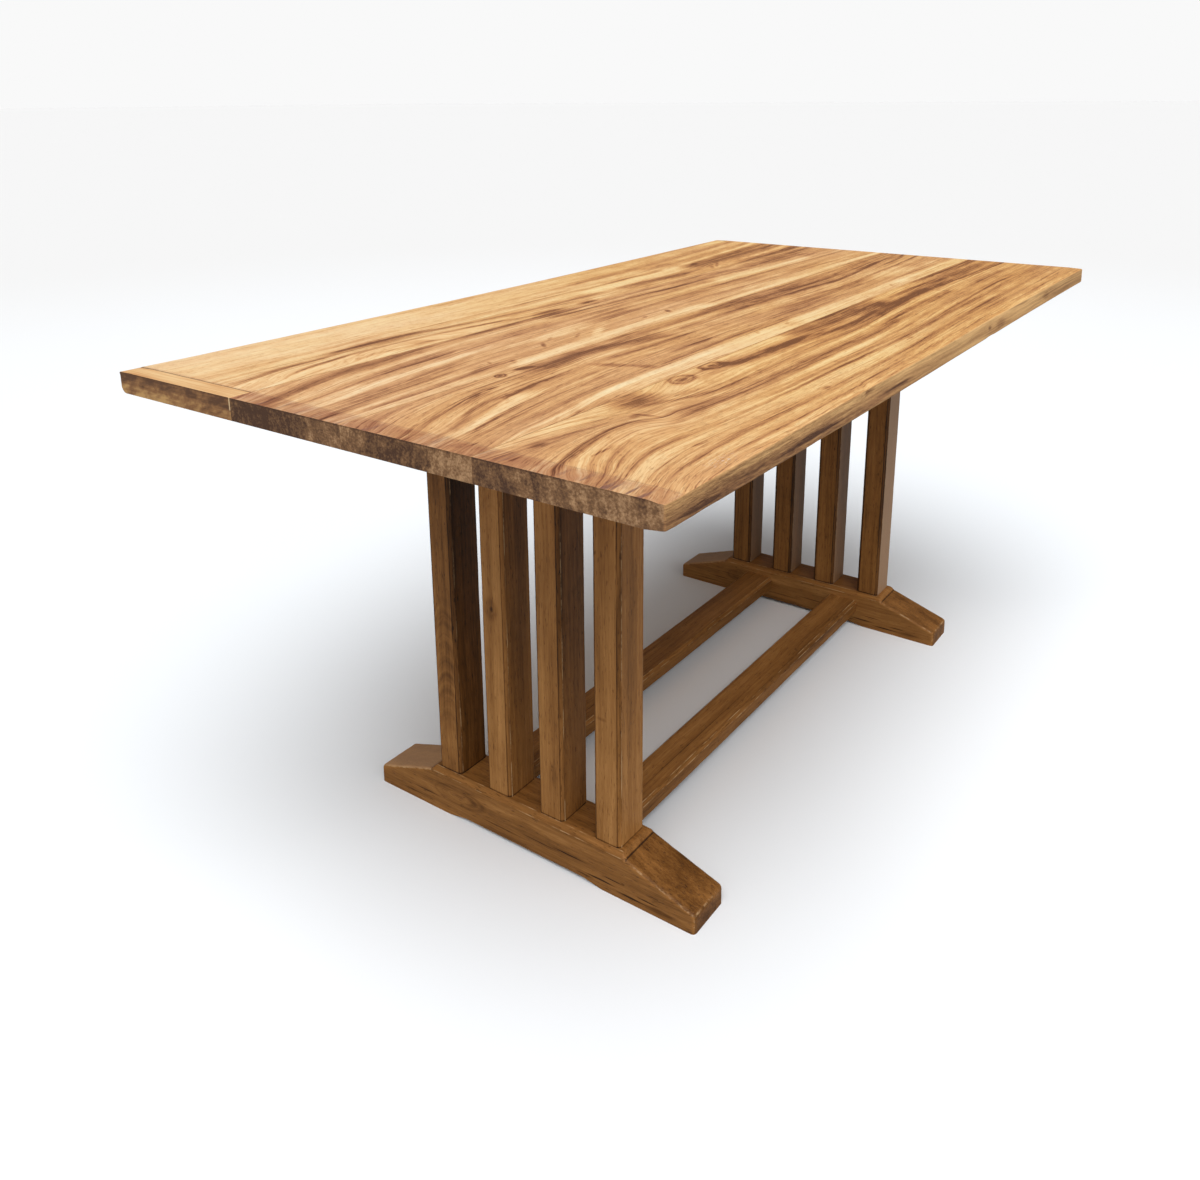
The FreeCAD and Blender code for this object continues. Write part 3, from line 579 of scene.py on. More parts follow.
def board_wood(node, colours):
    """Oiled hardwood of one top board, with its own figure."""
    board = BOARDS[node]
    finish = Finish(f"{node}_oiled_wood")
    x, y, z = finish.place()
    seed = board["seed"]
    across = y + (TABLE_HEIGHT - z) * board["lean"]
    wander = finish.waver(x * 3.0, across * 14.0, seed)
    ripple = finish.waver(x * 18.0, across * 60.0, seed + 1)
    drawn = across + wander * (8 * MM) + ripple * (3 * MM)
    fine = across - flow_of(finish, x, across, board["flow"]) + wander * (14 * MM) + ripple * (3 * MM)
    bands = finish.waver(x * 0.7, fine * 22.0, seed)
    streaky = finish.waver(x * 1.6, fine * 75.0, seed + 3, 3.0, 0.6)
    lines = finish.waver(x * 4.5, fine * 240.0, seed + 5, 3.0, 0.6)
    fibres = finish.waver(x * 22.0, fine * 600.0, seed + 7, 2.0, 0.6)
    mottle = finish.waver(x * 14.0, fine * 36.0, seed + 9, 3.0, 0.6)
    flecks = finish.clouds(x * 55.0 + across * 40.0, fine * 420.0, seed + 11, 1.0)
    flecks = finish.smooth(flecks, 0.60, 0.74)
    pores = finish.smooth(finish.clouds(x * 70.0, fine * 1300.0, z * 900.0, 1.0), 0.60, 0.72)
    figure = bands * 0.55 + streaky * 0.85 + lines * 0.6 + finish.smooth(lines, 0.06, 0.22) * 0.24
    tone = finish.curve(x, [(px * MM, value) for px, value in board["tone"]])
    if board["sapwood"]:
        start, end = board["sapwood"]
        heart = finish.smooth(y + wander * (30 * MM), start * MM, end * MM)
        figure = figure * (heart * 0.55 + 0.45)
        tone = tone + heart * 0.08 - 0.06
    tone = tone + figure + fibres * 0.52 + mottle * 0.40 + flecks * 0.20 + pores * 0.10
    narrow = lines * 1.5 + fibres * 0.8 + streaky * 0.6 + 0.75
    wide = lines * 0.9 + fibres * 0.5 + mottle * 0.5 + 0.9
    for depth, half_width, points in board["streaks"]:
        mask = streak_mask(finish, x, drawn, depth, half_width, points)
        tone = finish.math("MULTIPLY_ADD", mask, narrow if half_width < 8 else wide, tone)
    on_board = finish.vector(x, drawn, 0.0)
    for patch in board["patches"]:
        mask = finish.patch(on_board, *patch)
        tone = finish.math("MULTIPLY_ADD", mask, narrow if patch[4] < 8 else wide, tone)
    for depth, *oval in board["knots"]:
        rings = knot_depth(finish, x, across, ripple * 0.9, *(size * MM for size in oval))
        tone = tone + rings * depth
    colour = top_colour(finish, colours, tone)
    hue = finish.clouds(x * 3.0, fine * 13.0, seed + 13) * 1.4 - 0.7
    blush = finish.curve(x, [(px * MM, value) for px, value in board["blush"]]) + hue
    colour = finish.mix(finish.math("MAXIMUM", blush, 0.0), colour, (1.02, 1.06, 1.32), "MULTIPLY")
    colour = finish.mix(finish.math("MAXIMUM", 0.0 - blush, 0.0), colour, (1.0, 0.96, 0.80), "MULTIPLY")
    for pits in board["pits"]:
        spots = finish.smooth(finish.clouds(x * 240.0, across * 420.0, seed, 3.0, 0.6), 0.54, 0.66)
        colour = finish.mix(finish.patch(on_board, 0.6, *pits) * spots, colour, linear(236, 214, 200))
    return finish_board(finish, colours, board, colour, (x, y, z), (lines, fibres, pores))


def finish_board(finish, colours, board, colour, place, grain):
    """Adds the stain by the near end, the sawn end grain, the seam lines and the satin oil to a board."""
    x, y, z = place
    lines, fibres, pores = grain
    seed = board["seed"]
    below = TABLE_HEIGHT - z
    facing_x, facing_y = finish.facing()[:2]
    from_end = x - NEAR_END
    cloud = finish.clouds(x * 30.0, y * 34.0, seed, 3.0)
    stain = finish.smooth(from_end + cloud * (16 * MM), 48 * MM, 34 * MM)
    colour = finish.mix(stain * (cloud * 1.1), colour, linear(200, 176, 186), "MULTIPLY")
    dashes = finish.clouds(x * 13.0, y * 95.0, seed + 2, 3.0, 0.6)
    by_end = finish.smooth(from_end + cloud * (60 * MM), 75 * MM, 25 * MM)
    dashes = finish.smooth(dashes, 0.54, 0.66) * by_end
    colour = finish.mix(dashes * 0.8, colour, linear(126, 88, 80))
    scribed = finish.smooth(abs(from_end - 33 * MM), 1.2 * MM, 0.4 * MM)
    colour = finish.mix(scribed * cloud * 0.6, colour, linear(150, 112, 90))
    seam = sum(finish.smooth(abs(y - line), 1.2 * MM, 0.0) for line in SEAMS)
    colour = finish.mix(seam * 0.6, colour, linear(92, 60, 38))
    blotch = finish.waver(y * 55.0, z * 70.0, seed + 2, 4.0, 0.6)
    specks = finish.waver(y * 340.0, z * 340.0, seed + 4, 3.0, 0.65)
    leaning = y + below * (board["lean"] * 0.3) + blotch * (12 * MM)
    rays = finish.waver(leaning * 150.0, z * 18.0, seed, 3.0)
    rim = finish.smooth(below, 3 * MM, 0.8 * MM)
    shade = finish.curve(y, [(py * MM, value) for py, value in board["end"]])
    shade = shade + blotch * 1.1 + specks * 1.2 + rays * 0.9 + rim * 0.22 + 0.49
    end_colour = finish.ramp(shade, [
        (0.1, colours.end_light), (0.5, linear(136, 100, 68)), (0.9, colours.end_dark)])
    sawn = finish.smooth(facing_x, 0.5, 0.8)
    colour = finish.mix(sawn, colour, end_colour)
    warp = finish.waver(x * 9.0, z * 30.0, seed)
    layer = below + warp * (9 * MM)
    edge_lines = finish.waver(x * 5.0, layer * 330.0, seed, 4.0, 0.62)
    edge_bands = finish.waver(x * 4.0, layer * 70.0, seed + 6)
    torn = finish.waver(x * 60.0 + z * 60.0, z * 420.0, seed, 3.0, 0.6)
    near = finish.smooth(x, 0.0, NEAR_END + 0.1)
    edge_tone = edge_lines + edge_bands * 0.9 + torn * (near * 0.6 + 0.2) + near * 0.10 + 0.32
    edge_tone = edge_tone + finish.smooth(below, 4 * MM, 22 * MM) * (near * 0.28 + 0.06)
    on_edge = finish.vector(x, z + warp * (4 * MM), 0.0)
    lined = edge_lines * 1.2 + 1.0
    for mark in EDGE_MARKS:
        edge_tone = finish.math("MULTIPLY_ADD", finish.patch(on_edge, *mark), lined, edge_tone)
    edge_colour = finish.ramp(edge_tone, [
        (0.1, linear(226, 182, 124)), (0.45, linear(186, 142, 94)), (0.75, linear(142, 102, 68)),
        (1.0, linear(92, 62, 44))])
    edge = finish.smooth(facing_y, 0.35, 0.8)
    colour = finish.mix(edge, colour, edge_colour)
    relief = lines * 0.4 + fibres * 0.8 - pores * 0.9
    relief = relief + sawn * (specks + blotch) + edge * (edge_lines + near * torn * 4.0)
    rough = finish.smooth(fibres, -0.5, 0.5) * 0.14 + 0.46 + pores * 0.1 + sawn * 0.15 + edge * 0.3
    return finish.surface(colour, rough, relief, 0.35 * MM, 0.25)


def cross_wood(colours):
    """Oiled hardwood of the end strip, whose grain runs across the table."""
    finish = Finish("end_strip_oiled_wood")
    x, y, z = finish.place()
    below = TABLE_HEIGHT - z
    across = x - below * 0.8
    broad = finish.waver(y * 7.0, across * 30.0, 2.0)
    lines = finish.waver(y * 9.0, across * 240.0, 6.0, 4.0, 0.6)
    fibres = finish.waver(y * 18.0, across * 900.0, 8.0, 3.0, 0.6)
    tone = broad * 0.6 + lines * 0.7 + fibres * 0.4 + 0.42
    front = finish.smooth(finish.facing()[0], 0.5, 0.8)
    joint = finish.smooth(x, STRIP_JOINT - 2.6 * MM, STRIP_JOINT - 1.2 * MM)
    arris = finish.smooth(below, 3 * MM, 0.6 * MM)
    colour = finish.mix(0.6, top_colour(finish, colours, tone), (1.0, 1.03, 1.22), "MULTIPLY")
    slant = finish.waver((y - below * 0.5) * 40.0, below * 60.0, 4.0, 3.0, 0.6)
    upper = finish.smooth(below, 26 * MM, 6 * MM, 0.24)
    shade = slant * 2.0 + broad * 0.9 + lines * 0.8 + upper + arris * 0.2 + 0.44
    front_colour = finish.ramp(shade, [
        (0.1, linear(196, 152, 94)), (0.5, linear(146, 102, 60)), (0.9, linear(96, 62, 36))])
    colour = finish.mix(front, colour, front_colour)
    from_seam = abs(y - STRIP_INNER_END - 1.5 * MM)
    filler = finish.smooth(from_seam, 1.5 * MM, 0.7 * MM) * finish.smooth(below, 18 * MM, 15 * MM)
    colour = finish.mix(filler * front, colour, linear(222, 190, 144))
    colour = finish.mix(joint * 0.8, colour, linear(112, 74, 48))
    rough = lines * 0.2 + 0.5
    return finish.surface(colour, rough, lines * 0.6 + fibres * 0.6, 0.3 * MM, 0.4)


def base_grain(finish, across, through, along, seed):
    """Grain of a trestle piece: soft bands, lines, fibres and short pores, all running along it."""
    sway = finish.waver(across * 7.0, through * 7.0, along * 2.4 + seed)
    across, through = across + sway * (26 * MM), through + sway * (26 * MM)
    bands = finish.waver(across * 34.0, through * 34.0, along * 1.6 + seed, 3.0, 0.55)
    lines = finish.waver(across * 230.0, through * 230.0, along * 5.0 + seed, 3.0, 0.6)
    fibres = finish.waver(across * 1000.0, through * 1000.0, along * 40.0 + seed, 2.0, 0.6)
    pores = finish.clouds(across * 520.0, through * 520.0, along * 80.0 + seed, 1.0)
    return bands, lines, fibres, finish.smooth(pores, 0.62, 0.74)


def arris_mask(finish, distances, width):
    """1 on the arrises of a piece, given the distance from each of its faces."""
    near = 0.0
    for distance in distances:
        near = finish.smooth(distance, width, 0.2 * width) + near
    return finish.math("MINIMUM", finish.math("MAXIMUM", near - 1.0, 0.0), 1.0)


def base_wood(finish, colours, grain, distances, along, tone, marks=(), dusty_and_painted_light=0.0, scuffed=0.0):
    """Darker oiled hardwood of the trestles, with grime beside its arrises and a worn line on them."""
    bands, lines, fibres, pores = grain
    patchy = finish.waver(along * 14.0, 0.5, tone * 7.0, 3.0, 0.6)
    rub = finish.clouds(along * 40.0, 3.5, tone * 7.0, 3.0, 0.7)
    bare = arris_mask(finish, distances, 0.9 * MM) * finish.smooth(rub, 0.38, 0.62)
    worn = finish.math("MAXIMUM", bare, scuffed)
    grime = arris_mask(finish, distances, 4 * MM) * finish.smooth(patchy, 0.2, -0.2)
    shade = bands * 0.8 + lines * 0.52 + fibres * 0.45 + pores * 0.24 + patchy * 0.22 + grime * 0.14 + tone
    for mark in marks:
        shade = shade + mark
    colour = finish.ramp(shade, [
        (0.0, colours.light), (0.35, colours.middle), (0.70, colours.dark), (1.0, colours.darkest)])
    # the dusty colour: rubbed left toes, and painted light on the side faces of the far legs
    colour = finish.mix(dusty_and_painted_light, colour, colours.dusty_and_painted_light)
    colour = finish.mix(worn * 0.62, colour, colours.worn)
    rough = fibres * 0.2 + 0.48 + worn * 0.1
    return finish.surface(colour, rough, lines * 0.5 + fibres * 0.7 - pores * 0.8, 0.3 * MM, 0.18)


def leg_wood(node, colours, seed, tone):
    """Finish of one leg, with its grain upright."""
    finish = Finish(f"{node}_oiled_wood")
    low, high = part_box(node)
    middle = (low + high) / 2
    x, y, z = finish.place()
    across, through = x - middle.x, y - middle.y
    half_x, half_y = middle.x - low.x, middle.y - low.y
    grain = base_grain(finish, across, through, z, seed)
    side_x, side_y = half_x - abs(across), half_y - abs(through)
    chamfer = (side_x + side_y - bpy.context.scene.trestle_base.leg_chamfer) * math.sqrt(0.5)
    facing_x, facing_y = finish.facing()[:2]
    flat_side = finish.smooth(facing_y, 0.8, 0.95)
    flat_front = finish.smooth(facing_x, 0.8, 0.95)
    wobble = grain[0] * (10 * MM)
    marks = [finish.smooth(z - FOOT_TOP, 3 * MM, 0.5 * MM, 0.5),
             # painted shade: darker towards the table top, under its overhang, most on the side faces
             finish.smooth(z, FOOT_TOP, BEARER_UNDERSIDE, 0.16) * (flat_side + 0.4),
             # painted shade on the side faces, deepest on the inner legs, which shade one another
             flat_side * LEG_SIDE_SHADE.get(node, 0.1),
             finish.smooth(chamfer, 0.8 * MM, 0.4 * MM, 0.26),
             arris_mask(finish, [side_x, chamfer], 1.3 * MM) * 0.3]
    on_front = finish.vector(through + wobble, z, 0.0)
    marks.extend(finish.patch(on_front, *mark) for mark in LEG_MARKS.get(node, []))
    if node in LEG_CHEVRONS:
        bottom, top = LEG_CHEVRONS[node]
        bow = z + through * through * 60.0 + through * 0.5 + wobble * 2.0
        arcs = finish.clouds(bow * 75.0, through * 9.0, seed) - 0.45
        inside = finish.smooth(z, bottom, bottom + 0.04) * finish.smooth(z, top, top - 0.08) * flat_front
        marks.append(arcs * inside * 0.7)
    # painted light: the side faces of the far legs made paler and greyer, as where light falls on them
    dusty_and_painted_light = flat_side * LEG_SIDE_LIGHT.get(node, 0.0)
    return base_wood(finish, colours, grain, [side_y, chamfer], z, tone, marks, dusty_and_painted_light)


def foot_wood(node, colours, seed, tone):
    """Finish of one foot, with its grain along the foot, cracks in its long faces and scuffed toes."""
    finish = Finish(f"{node}_oiled_wood")
    low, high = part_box(node)
    x, y, z = finish.place()
    across = x - (low.x + high.x) / 2
    grain = base_grain(finish, across, z - 0.1, y, seed)
    side = (high.x - low.x) / 2 - abs(across)
    top = high.z - z
    bevel = (side + top - PLATFORM_BEVEL) * math.sqrt(0.5)
    run, drop = high.y - SLOPE_START, high.z - PLATFORM_BEVEL - TOE_HEIGHT
    steep = math.hypot(run, drop)
    end = high.y - abs(y)
    slope = end * (drop / steep) - (z - TOE_HEIGHT) * (run / steep)
    past = finish.smooth(abs(y), SLOPE_START - 2 * MM, SLOPE_START)
    slope = abs(slope) + (1.0 - past)
    facing_x, facing_y, facing_z = finish.facing()
    front = finish.smooth(facing_x, 0.6, 0.9)
    up = finish.smooth(facing_z, 0.5, 0.8)
    cloud = finish.waver(x * 26.0, y * 14.0, seed, 3.0)
    left = finish.smooth(y, 0.18, 0.2)
    smear = finish.smooth(abs(y), 0.22, 0.28) * (1.0 - left)
    marks = [finish.smooth(abs(abs(y) - SLOPE_START), 1.6 * MM, 0.4 * MM, 0.4) * up,
             finish.smooth(facing_y, 0.7, 0.9, 0.2),
             up * past * (cloud * 0.22 + smear * 0.04 - left * 0.43 + 0.13),
             up * (1.0 - past) * 0.02]
    wobble = grain[0] * (6 * MM)
    on_front = finish.vector(y, z + wobble, 0.0)
    marks.extend(front * finish.patch(on_front, *mark) for mark in FOOT_MARKS)
    radius = finish.oval(on_front, 130, 40, 60, 18)
    rings = finish.clouds(radius * 4.0, y * 6.0, z * 20.0) - 0.45
    marks.append(front * finish.smooth(radius, 1.6, 0.5) * rings * 0.8)
    distances = [side, top, bevel, slope, end]
    off = [finish.smooth(gap, 0.7 * MM, 1.4 * MM) * finish.smooth(gap, 4 * MM, 2.6 * MM)
           for gap in (side, slope, end)]
    broken = finish.smooth(finish.clouds(x * 70.0, y * 50.0, z * 70.0, 3.0, 0.7), 0.46, 0.66)
    scuffed = (off[0] * off[1] + off[1] * off[2] + off[0] * off[2]) * past * broken * 0.6
    return base_wood(finish, colours, grain, distances, y, tone, marks, up * past * left * 0.5, scuffed)


def stretcher_wood(node, colours, seed, tone):
    """Finish of one stretcher, with its grain along the table and a lengthwise crack."""
    finish = Finish(f"{node}_oiled_wood")
    low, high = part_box(node)
    x, y, z = finish.place()
    across = y - (low.y + high.y) / 2
    grain = base_grain(finish, across, z - 0.06, x, seed)
    side = (high.y - low.y) / 2 - abs(across)
    top = high.z - z
    chamfer = (side + top - STRETCHER_CHAMFER) * math.sqrt(0.5)
    wobble = grain[0] * (4 * MM)
    crack = finish.smooth(abs(across + 8 * MM + wobble), 1.0 * MM, 0.2 * MM)
    crack = crack * finish.smooth(x, -0.42, -0.3) * finish.smooth(x, 0.05, -0.15)
    upright = finish.smooth(finish.facing()[1], 0.7, 0.9)
    marks = [crack * 0.35, upright * 0.06]
    return base_wood(finish, colours, grain, [side, top, chamfer], x, tone, marks)


def bearer_wood(node, colours, seed, tone):
    """Finish of one bearer, with its grain across the table."""
    finish = Finish(f"{node}_oiled_wood")
    low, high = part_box(node)
    x, y, z = finish.place()
    across = x - (low.x + high.x) / 2
    grain = base_grain(finish, across, z - high.z, y, seed)
    side = (high.x - low.x) / 2 - abs(across)
    return base_wood(finish, colours, grain, [side, z - low.z], y, tone)


def tongue_wood():
    """Bare pale hardwood of the loose tongues."""
    finish = Finish("bare_tongue_wood")
    x, y, z = finish.place()
    lines = finish.clouds(x * 12.0, y * 300.0, z * 300.0, 4.0, 0.6)
    colour = finish.ramp(lines, [(0.3, linear(214, 184, 140)), (0.7, linear(176, 138, 96))])
    return finish.surface(colour, lines * 0.2 + 0.55, lines, 0.2 * MM)


def screw_steel():
    """Dull zinc-plated steel of the screws and washers."""
    finish = Finish("zinc_plated_steel")
    x, y, z = finish.place()
    bloom = finish.clouds(x * 500.0, y * 500.0, z * 500.0, 3.0, 0.6)
    colour = finish.ramp(bloom, [(0.3, linear(206, 204, 196)), (0.7, linear(150, 148, 142))])
    relief = finish.node("ShaderNodeBump", {}, {"Strength": 0.4, "Distance": 0.05 * MM, "Height": bloom})
    shader = finish.node("ShaderNodeBsdfPrincipled", {}, {
        "Base Color": colour, "Metallic": 1.0, "Roughness": bloom * 0.3 + 0.25, "Normal": relief})
    finish.node("ShaderNodeOutputMaterial", {}, {"Surface": shader})
    return finish.material


# Sizes that the solids of the trestles have
TOE_HEIGHT = 30 * MM
SLOPE_START = 190 * MM
PLATFORM_BEVEL = 7.5 * MM
RELIEF_START = 150 * MM
RELIEF_END = 115 * MM
RELIEF_DEPTH = 6 * MM
STRETCHER_CHAMFER = 5 * MM
STRETCHER_LOWER_CHAMFER = 2 * MM
LEG_TENON = Vector((40, 20, 0)) * MM
STRETCHER_TENON = Vector((0, 40, 14)) * MM
STRETCHER_TENON_DEPTH = 30 * MM

# How far in the natural edges reach, the arris of a foot, and how finely the pieces are divided
EDGE_REACH = 30 * MM
FOOT_ARRIS = 1.2 * MM
FINE_STEP = 4 * MM
LEG_CUTS = 110
STRETCHER_CUTS = 160


def alone(piece):
    """Makes a piece the active object and the only selected one."""
    bpy.ops.object.select_all(action="DESELECT")
    piece.select_set(True)
    bpy.context.view_layer.objects.active = piece


def block(name, low, high):
    """A cube that fills a box, with its place in its mesh."""
    bpy.ops.object.select_all(action="DESELECT")
    bpy.ops.mesh.primitive_cube_add(size=1.0, location=(low + high) / 2)
    piece = bpy.context.object
    piece.name = piece.data.name = name
    bpy.ops.transform.resize(value=high - low)
    bpy.ops.object.transform_apply(location=True, rotation=True, scale=True)
    return piece


def pick(piece, kind, wanted):
    """Goes into edit mode with only the wanted vertices, edges or faces selected."""
    if piece.mode != "EDIT":
        bpy.ops.object.mode_set(mode="EDIT")
    bpy.ops.mesh.select_mode(type=kind)
    bpy.ops.mesh.select_all(action="DESELECT")
    shape = bmesh.from_edit_mesh(piece.data)
    parts = {"VERT": shape.verts, "EDGE": shape.edges, "FACE": shape.faces}[kind]
    found = [part for part in parts if wanted(part)]
    if not found:
        raise RuntimeError(f"nothing to pick on {piece.name}")
    for part in found:
        part.select_set(True)
    bmesh.update_edit_mesh(piece.data)


def put_down():
    """Joins doubled corners, leaves edit mode and shades the soft arrises smoothly."""
    bpy.ops.mesh.select_all(action="SELECT")
    bpy.ops.mesh.remove_doubles(threshold=TOUCH)
    bpy.ops.object.mode_set(mode="OBJECT")
    bpy.ops.object.shade_smooth_by_angle(angle=math.radians(32))


def middle_of(edge):
    """Middle of an edge."""
    return (edge.verts[0].co + edge.verts[1].co) / 2


def runs_along(edge, axis):
    """Whether an edge is parallel to an axis."""
    return abs((edge.verts[1].co - edge.verts[0].co).normalized().dot(axis)) > 0.999


def bevel(piece, wanted, width, segments):
    """Bevels the wanted edges."""
    pick(piece, "EDGE", wanted)
    bpy.ops.mesh.bevel(offset=width, offset_type="OFFSET", segments=segments, profile=0.5, affect="EDGES",
                       clamp_overlap=True)


def divide(piece, wanted, cuts):
    """Divides the wanted edges evenly."""
    pick(piece, "EDGE", wanted)
    bpy.ops.mesh.subdivide(number_cuts=cuts)


def slice_at(piece, axis, places):
    """Cuts the faces of a piece along planes square to an axis."""
    if piece.mode != "EDIT":
        bpy.ops.object.mode_set(mode="EDIT")
    bpy.ops.mesh.select_mode(type="FACE")
    for place in places:
        bpy.ops.mesh.select_all(action="SELECT")
        bpy.ops.mesh.bisect(plane_co=axis * place, plane_no=axis)


def steps(low, high, step):
    """Places between two ends, about a step apart."""
    count = max(1, round((high - low) / step))
    return [low + (high - low) * i / count for i in range(1, count)]


def carve(piece, depth):
    """Sinks each vertex along its normal by the depth that a function gives for its place."""
    places = [vertex.co - vertex.normal * depth(vertex.co) for vertex in piece.data.vertices]
    for vertex, place in zip(piece.data.vertices, places):
        vertex.co = place
    piece.data.update()


def settle(piece, node, finish):
    """Keeps the broad faces of a piece flat, gives it its finish and puts it in the place of its solid."""
    flat = piece.modifiers.new("flat faces", "WEIGHTED_NORMAL")
    flat.keep_sharp = True
    alone(piece)
    bpy.ops.object.modifier_apply(modifier=flat.name)
    piece.data.materials.clear()
    piece.data.materials.append(finish)
    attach(piece, BODY)
    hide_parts(node)


def add_tenon(piece, shoulder, share, middle, reach):
    """Draws a stub tenon out of the end of a piece, from the faces of its shoulder."""
    pick(piece, "FACE", shoulder)
    bpy.ops.mesh.extrude_region_move()
    bpy.ops.transform.resize(value=share, center_override=middle)
    bpy.ops.mesh.extrude_region_move(TRANSFORM_OT_translate={"value": reach})


def chips(x, y, z, octaves):
    """How deep the chips of a worn piece are, 0 between them."""
    return max(0.0, noise.fractal(Vector((x, y, z)), 0.9, 2.0, octaves))


def dent(place, depth, x, z, half_length, half_height):
    """Depth of a round-bottomed dent at a place on a natural edge."""
    return depth * math.exp(-((place.x - x) / half_length) ** 2 - ((place.z - z) / half_height) ** 2)


def natural_edge_depth(place, lumps, seed):
    """Lumps of a natural edge: slow swells everywhere and torn fibres by the near end of the right one."""
    swell = noise.fractal(Vector((place.x * 11, seed, place.z * 40)), 1.0, 2.0, 3)
    torn = noise.fractal(Vector((place.x * 26, seed + 4, place.z * 330)), 0.8, 2.0, 3)
    near = min(1.0, max(0.0, (-0.35 - place.x) / 0.2)) if place.y < 0 else 0.0
    return max(0.0, lumps * (0.35 + 0.45 * swell + (0.1 + 0.8 * near) * torn))


def model_natural_board(node, side, top):
    """Board or strip with a natural edge on one side, still straight and square above."""
    low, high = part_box(node)
    outer, inner = (high.y, low.y) if side > 0 else (low.y, high.y)
    piece = block(f"{node}_wood", low, high)

    def lengthwise(edge, y, z):
        middle = middle_of(edge)
        return runs_along(edge, X) and abs(middle.y - y) < TOUCH and abs(middle.z - z) < TOUCH

    under_radius = top.left_under_radius if side > 0 else top.right_under_radius
    bevel(piece, lambda edge: lengthwise(edge, outer, low.z), under_radius, 6)
    bevel(piece, lambda edge: lengthwise(edge, inner, high.z), top.seam, 1)
    slice_at(piece, Y, [outer - side * EDGE_REACH])

    def outer_upright(edge):
        on_side = runs_along(edge, Z) and abs(middle_of(edge).y - outer) < TOUCH
        return on_side and edge.calc_length() > 5 * MM

    divide(piece, outer_upright, 6)
    span = high.x - low.x
    cuts = max(7, round(span / FINE_STEP))
    divide(piece, lambda edge: runs_along(edge, X) and edge.calc_length() > 0.8 * span, cuts)
    put_down()
    return piece, outer


def round_near_corner(piece, outer, radius):
    """Draws in the outer edge of a board where it meets the near end."""
    for vertex in piece.data.vertices:
        inside = min(radius, radius - (vertex.co.x - NEAR_END))
        if inside > 0 and abs(vertex.co.y - outer) < EDGE_REACH / 2:
            vertex.co.y -= math.copysign(radius - math.sqrt(radius ** 2 - inside ** 2), outer)
    piece.data.update()


def follow_natural_edge(piece, node, outer, top, seed):
    """Draws the outer edge of a board in to the solid's wavy line, then carves its lumps and dents."""
    group = piece.vertex_groups.new(name="natural edge")
    reach = EDGE_REACH - TOUCH
    outermost = [vertex.index for vertex in piece.data.vertices if abs(vertex.co.y - outer) < reach]
    group.add(outermost, 1.0, "REPLACE")
    wrap = piece.modifiers.new("follow the solid", "SHRINKWRAP")
    wrap.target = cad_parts[node]
    wrap.wrap_method = "NEAREST_SURFACEPOINT"
    wrap.vertex_group = group.name
    alone(piece)
    bpy.ops.object.modifier_apply(modifier=wrap.name)

    def natural_arris(edge):
        middle = middle_of(edge)
        return (middle.z > TABLE_HEIGHT - 4 * MM and abs(middle.y - outer) < 0.8 * EDGE_REACH
                and edge.calc_face_angle(0) > math.radians(30)
                and all(abs(face.normal.x) < 0.95 for face in edge.link_faces))

    def end_rim(edge):
        return (edge.calc_face_angle(0) > math.radians(60) and edge.calc_length() > EDGE_REACH / 2
                and all(abs(vertex.co.z - TABLE_HEIGHT) < TOUCH for vertex in edge.verts)
                and any(abs(face.normal.x) > 0.9 for face in edge.link_faces))

    bevel(piece, natural_arris, top.natural_arris, 4)
    bevel(piece, end_rim, top.arris, 3)
    if outer < 0:
        slice_at(piece, X, [NEAR_END + share * top.corner_radius for share in (0.06, 0.16, 0.3, 0.48)])
    put_down()
    if outer < 0:
        round_near_corner(piece, outer, top.corner_radius)

    dents = [[size * MM for size in mark] for mark in EDGE_DENTS.get(node, [])]

    def depth(place):
        if abs(place.y - outer) > reach:
            return 0.0
        held = max(0.0, min(1.0, (TABLE_HEIGHT - place.z) / (5 * MM), (place.z - TOP_UNDERSIDE) / (5 * MM)))
        total = natural_edge_depth(place, top.lumps, seed) * held
        return total + sum(dent(place, *mark) for mark in dents)

    carve(piece, depth)


def model_inner_board(node, top):
    """Board between two seams, with softened arrises."""
    low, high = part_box(node)
    piece = block(f"{node}_wood", low, high)

    def upper(edge):
        return all(abs(vertex.co.z - high.z) < TOUCH for vertex in edge.verts)

    bevel(piece, lambda edge: upper(edge) and runs_along(edge, X), top.seam, 1)
    bevel(piece, lambda edge: upper(edge) and runs_along(edge, Y), top.arris, 3)
    put_down()
    return piece


class TRESTLE_OT_top_boards(bpy.types.Operator):
    """Models the four top boards, two of them with a natural edge"""
    bl_idname = "trestle.top_boards"
    bl_label = "Top boards"

    def execute(self, context):
        top = context.scene.trestle_top
        for node, board in BOARDS.items():
            if node in EDGE_DENTS:
                side = 1 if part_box(node)[0].y > 0 else -1
                piece, outer = model_natural_board(node, side, top)
                follow_natural_edge(piece, node, outer, top, board["seed"])
            else:
                piece = model_inner_board(node, top)
            settle(piece, node, board_wood(node, top))
        return {"FINISHED"}


class TRESTLE_OT_end_strip(bpy.types.Operator):
    """Models the cross-grain strip on the near end of the left board"""
    bl_idname = "trestle.end_strip"
    bl_label = "End strip"

    def execute(self, context):
        top = context.scene.trestle_top
        piece, outer = model_natural_board("end_strip", 1, top)
        follow_natural_edge(piece, "end_strip", outer, top, BOARDS["top_board_left_outer"]["seed"])
        settle(piece, "end_strip", cross_wood(top))
        return {"FINISHED"}


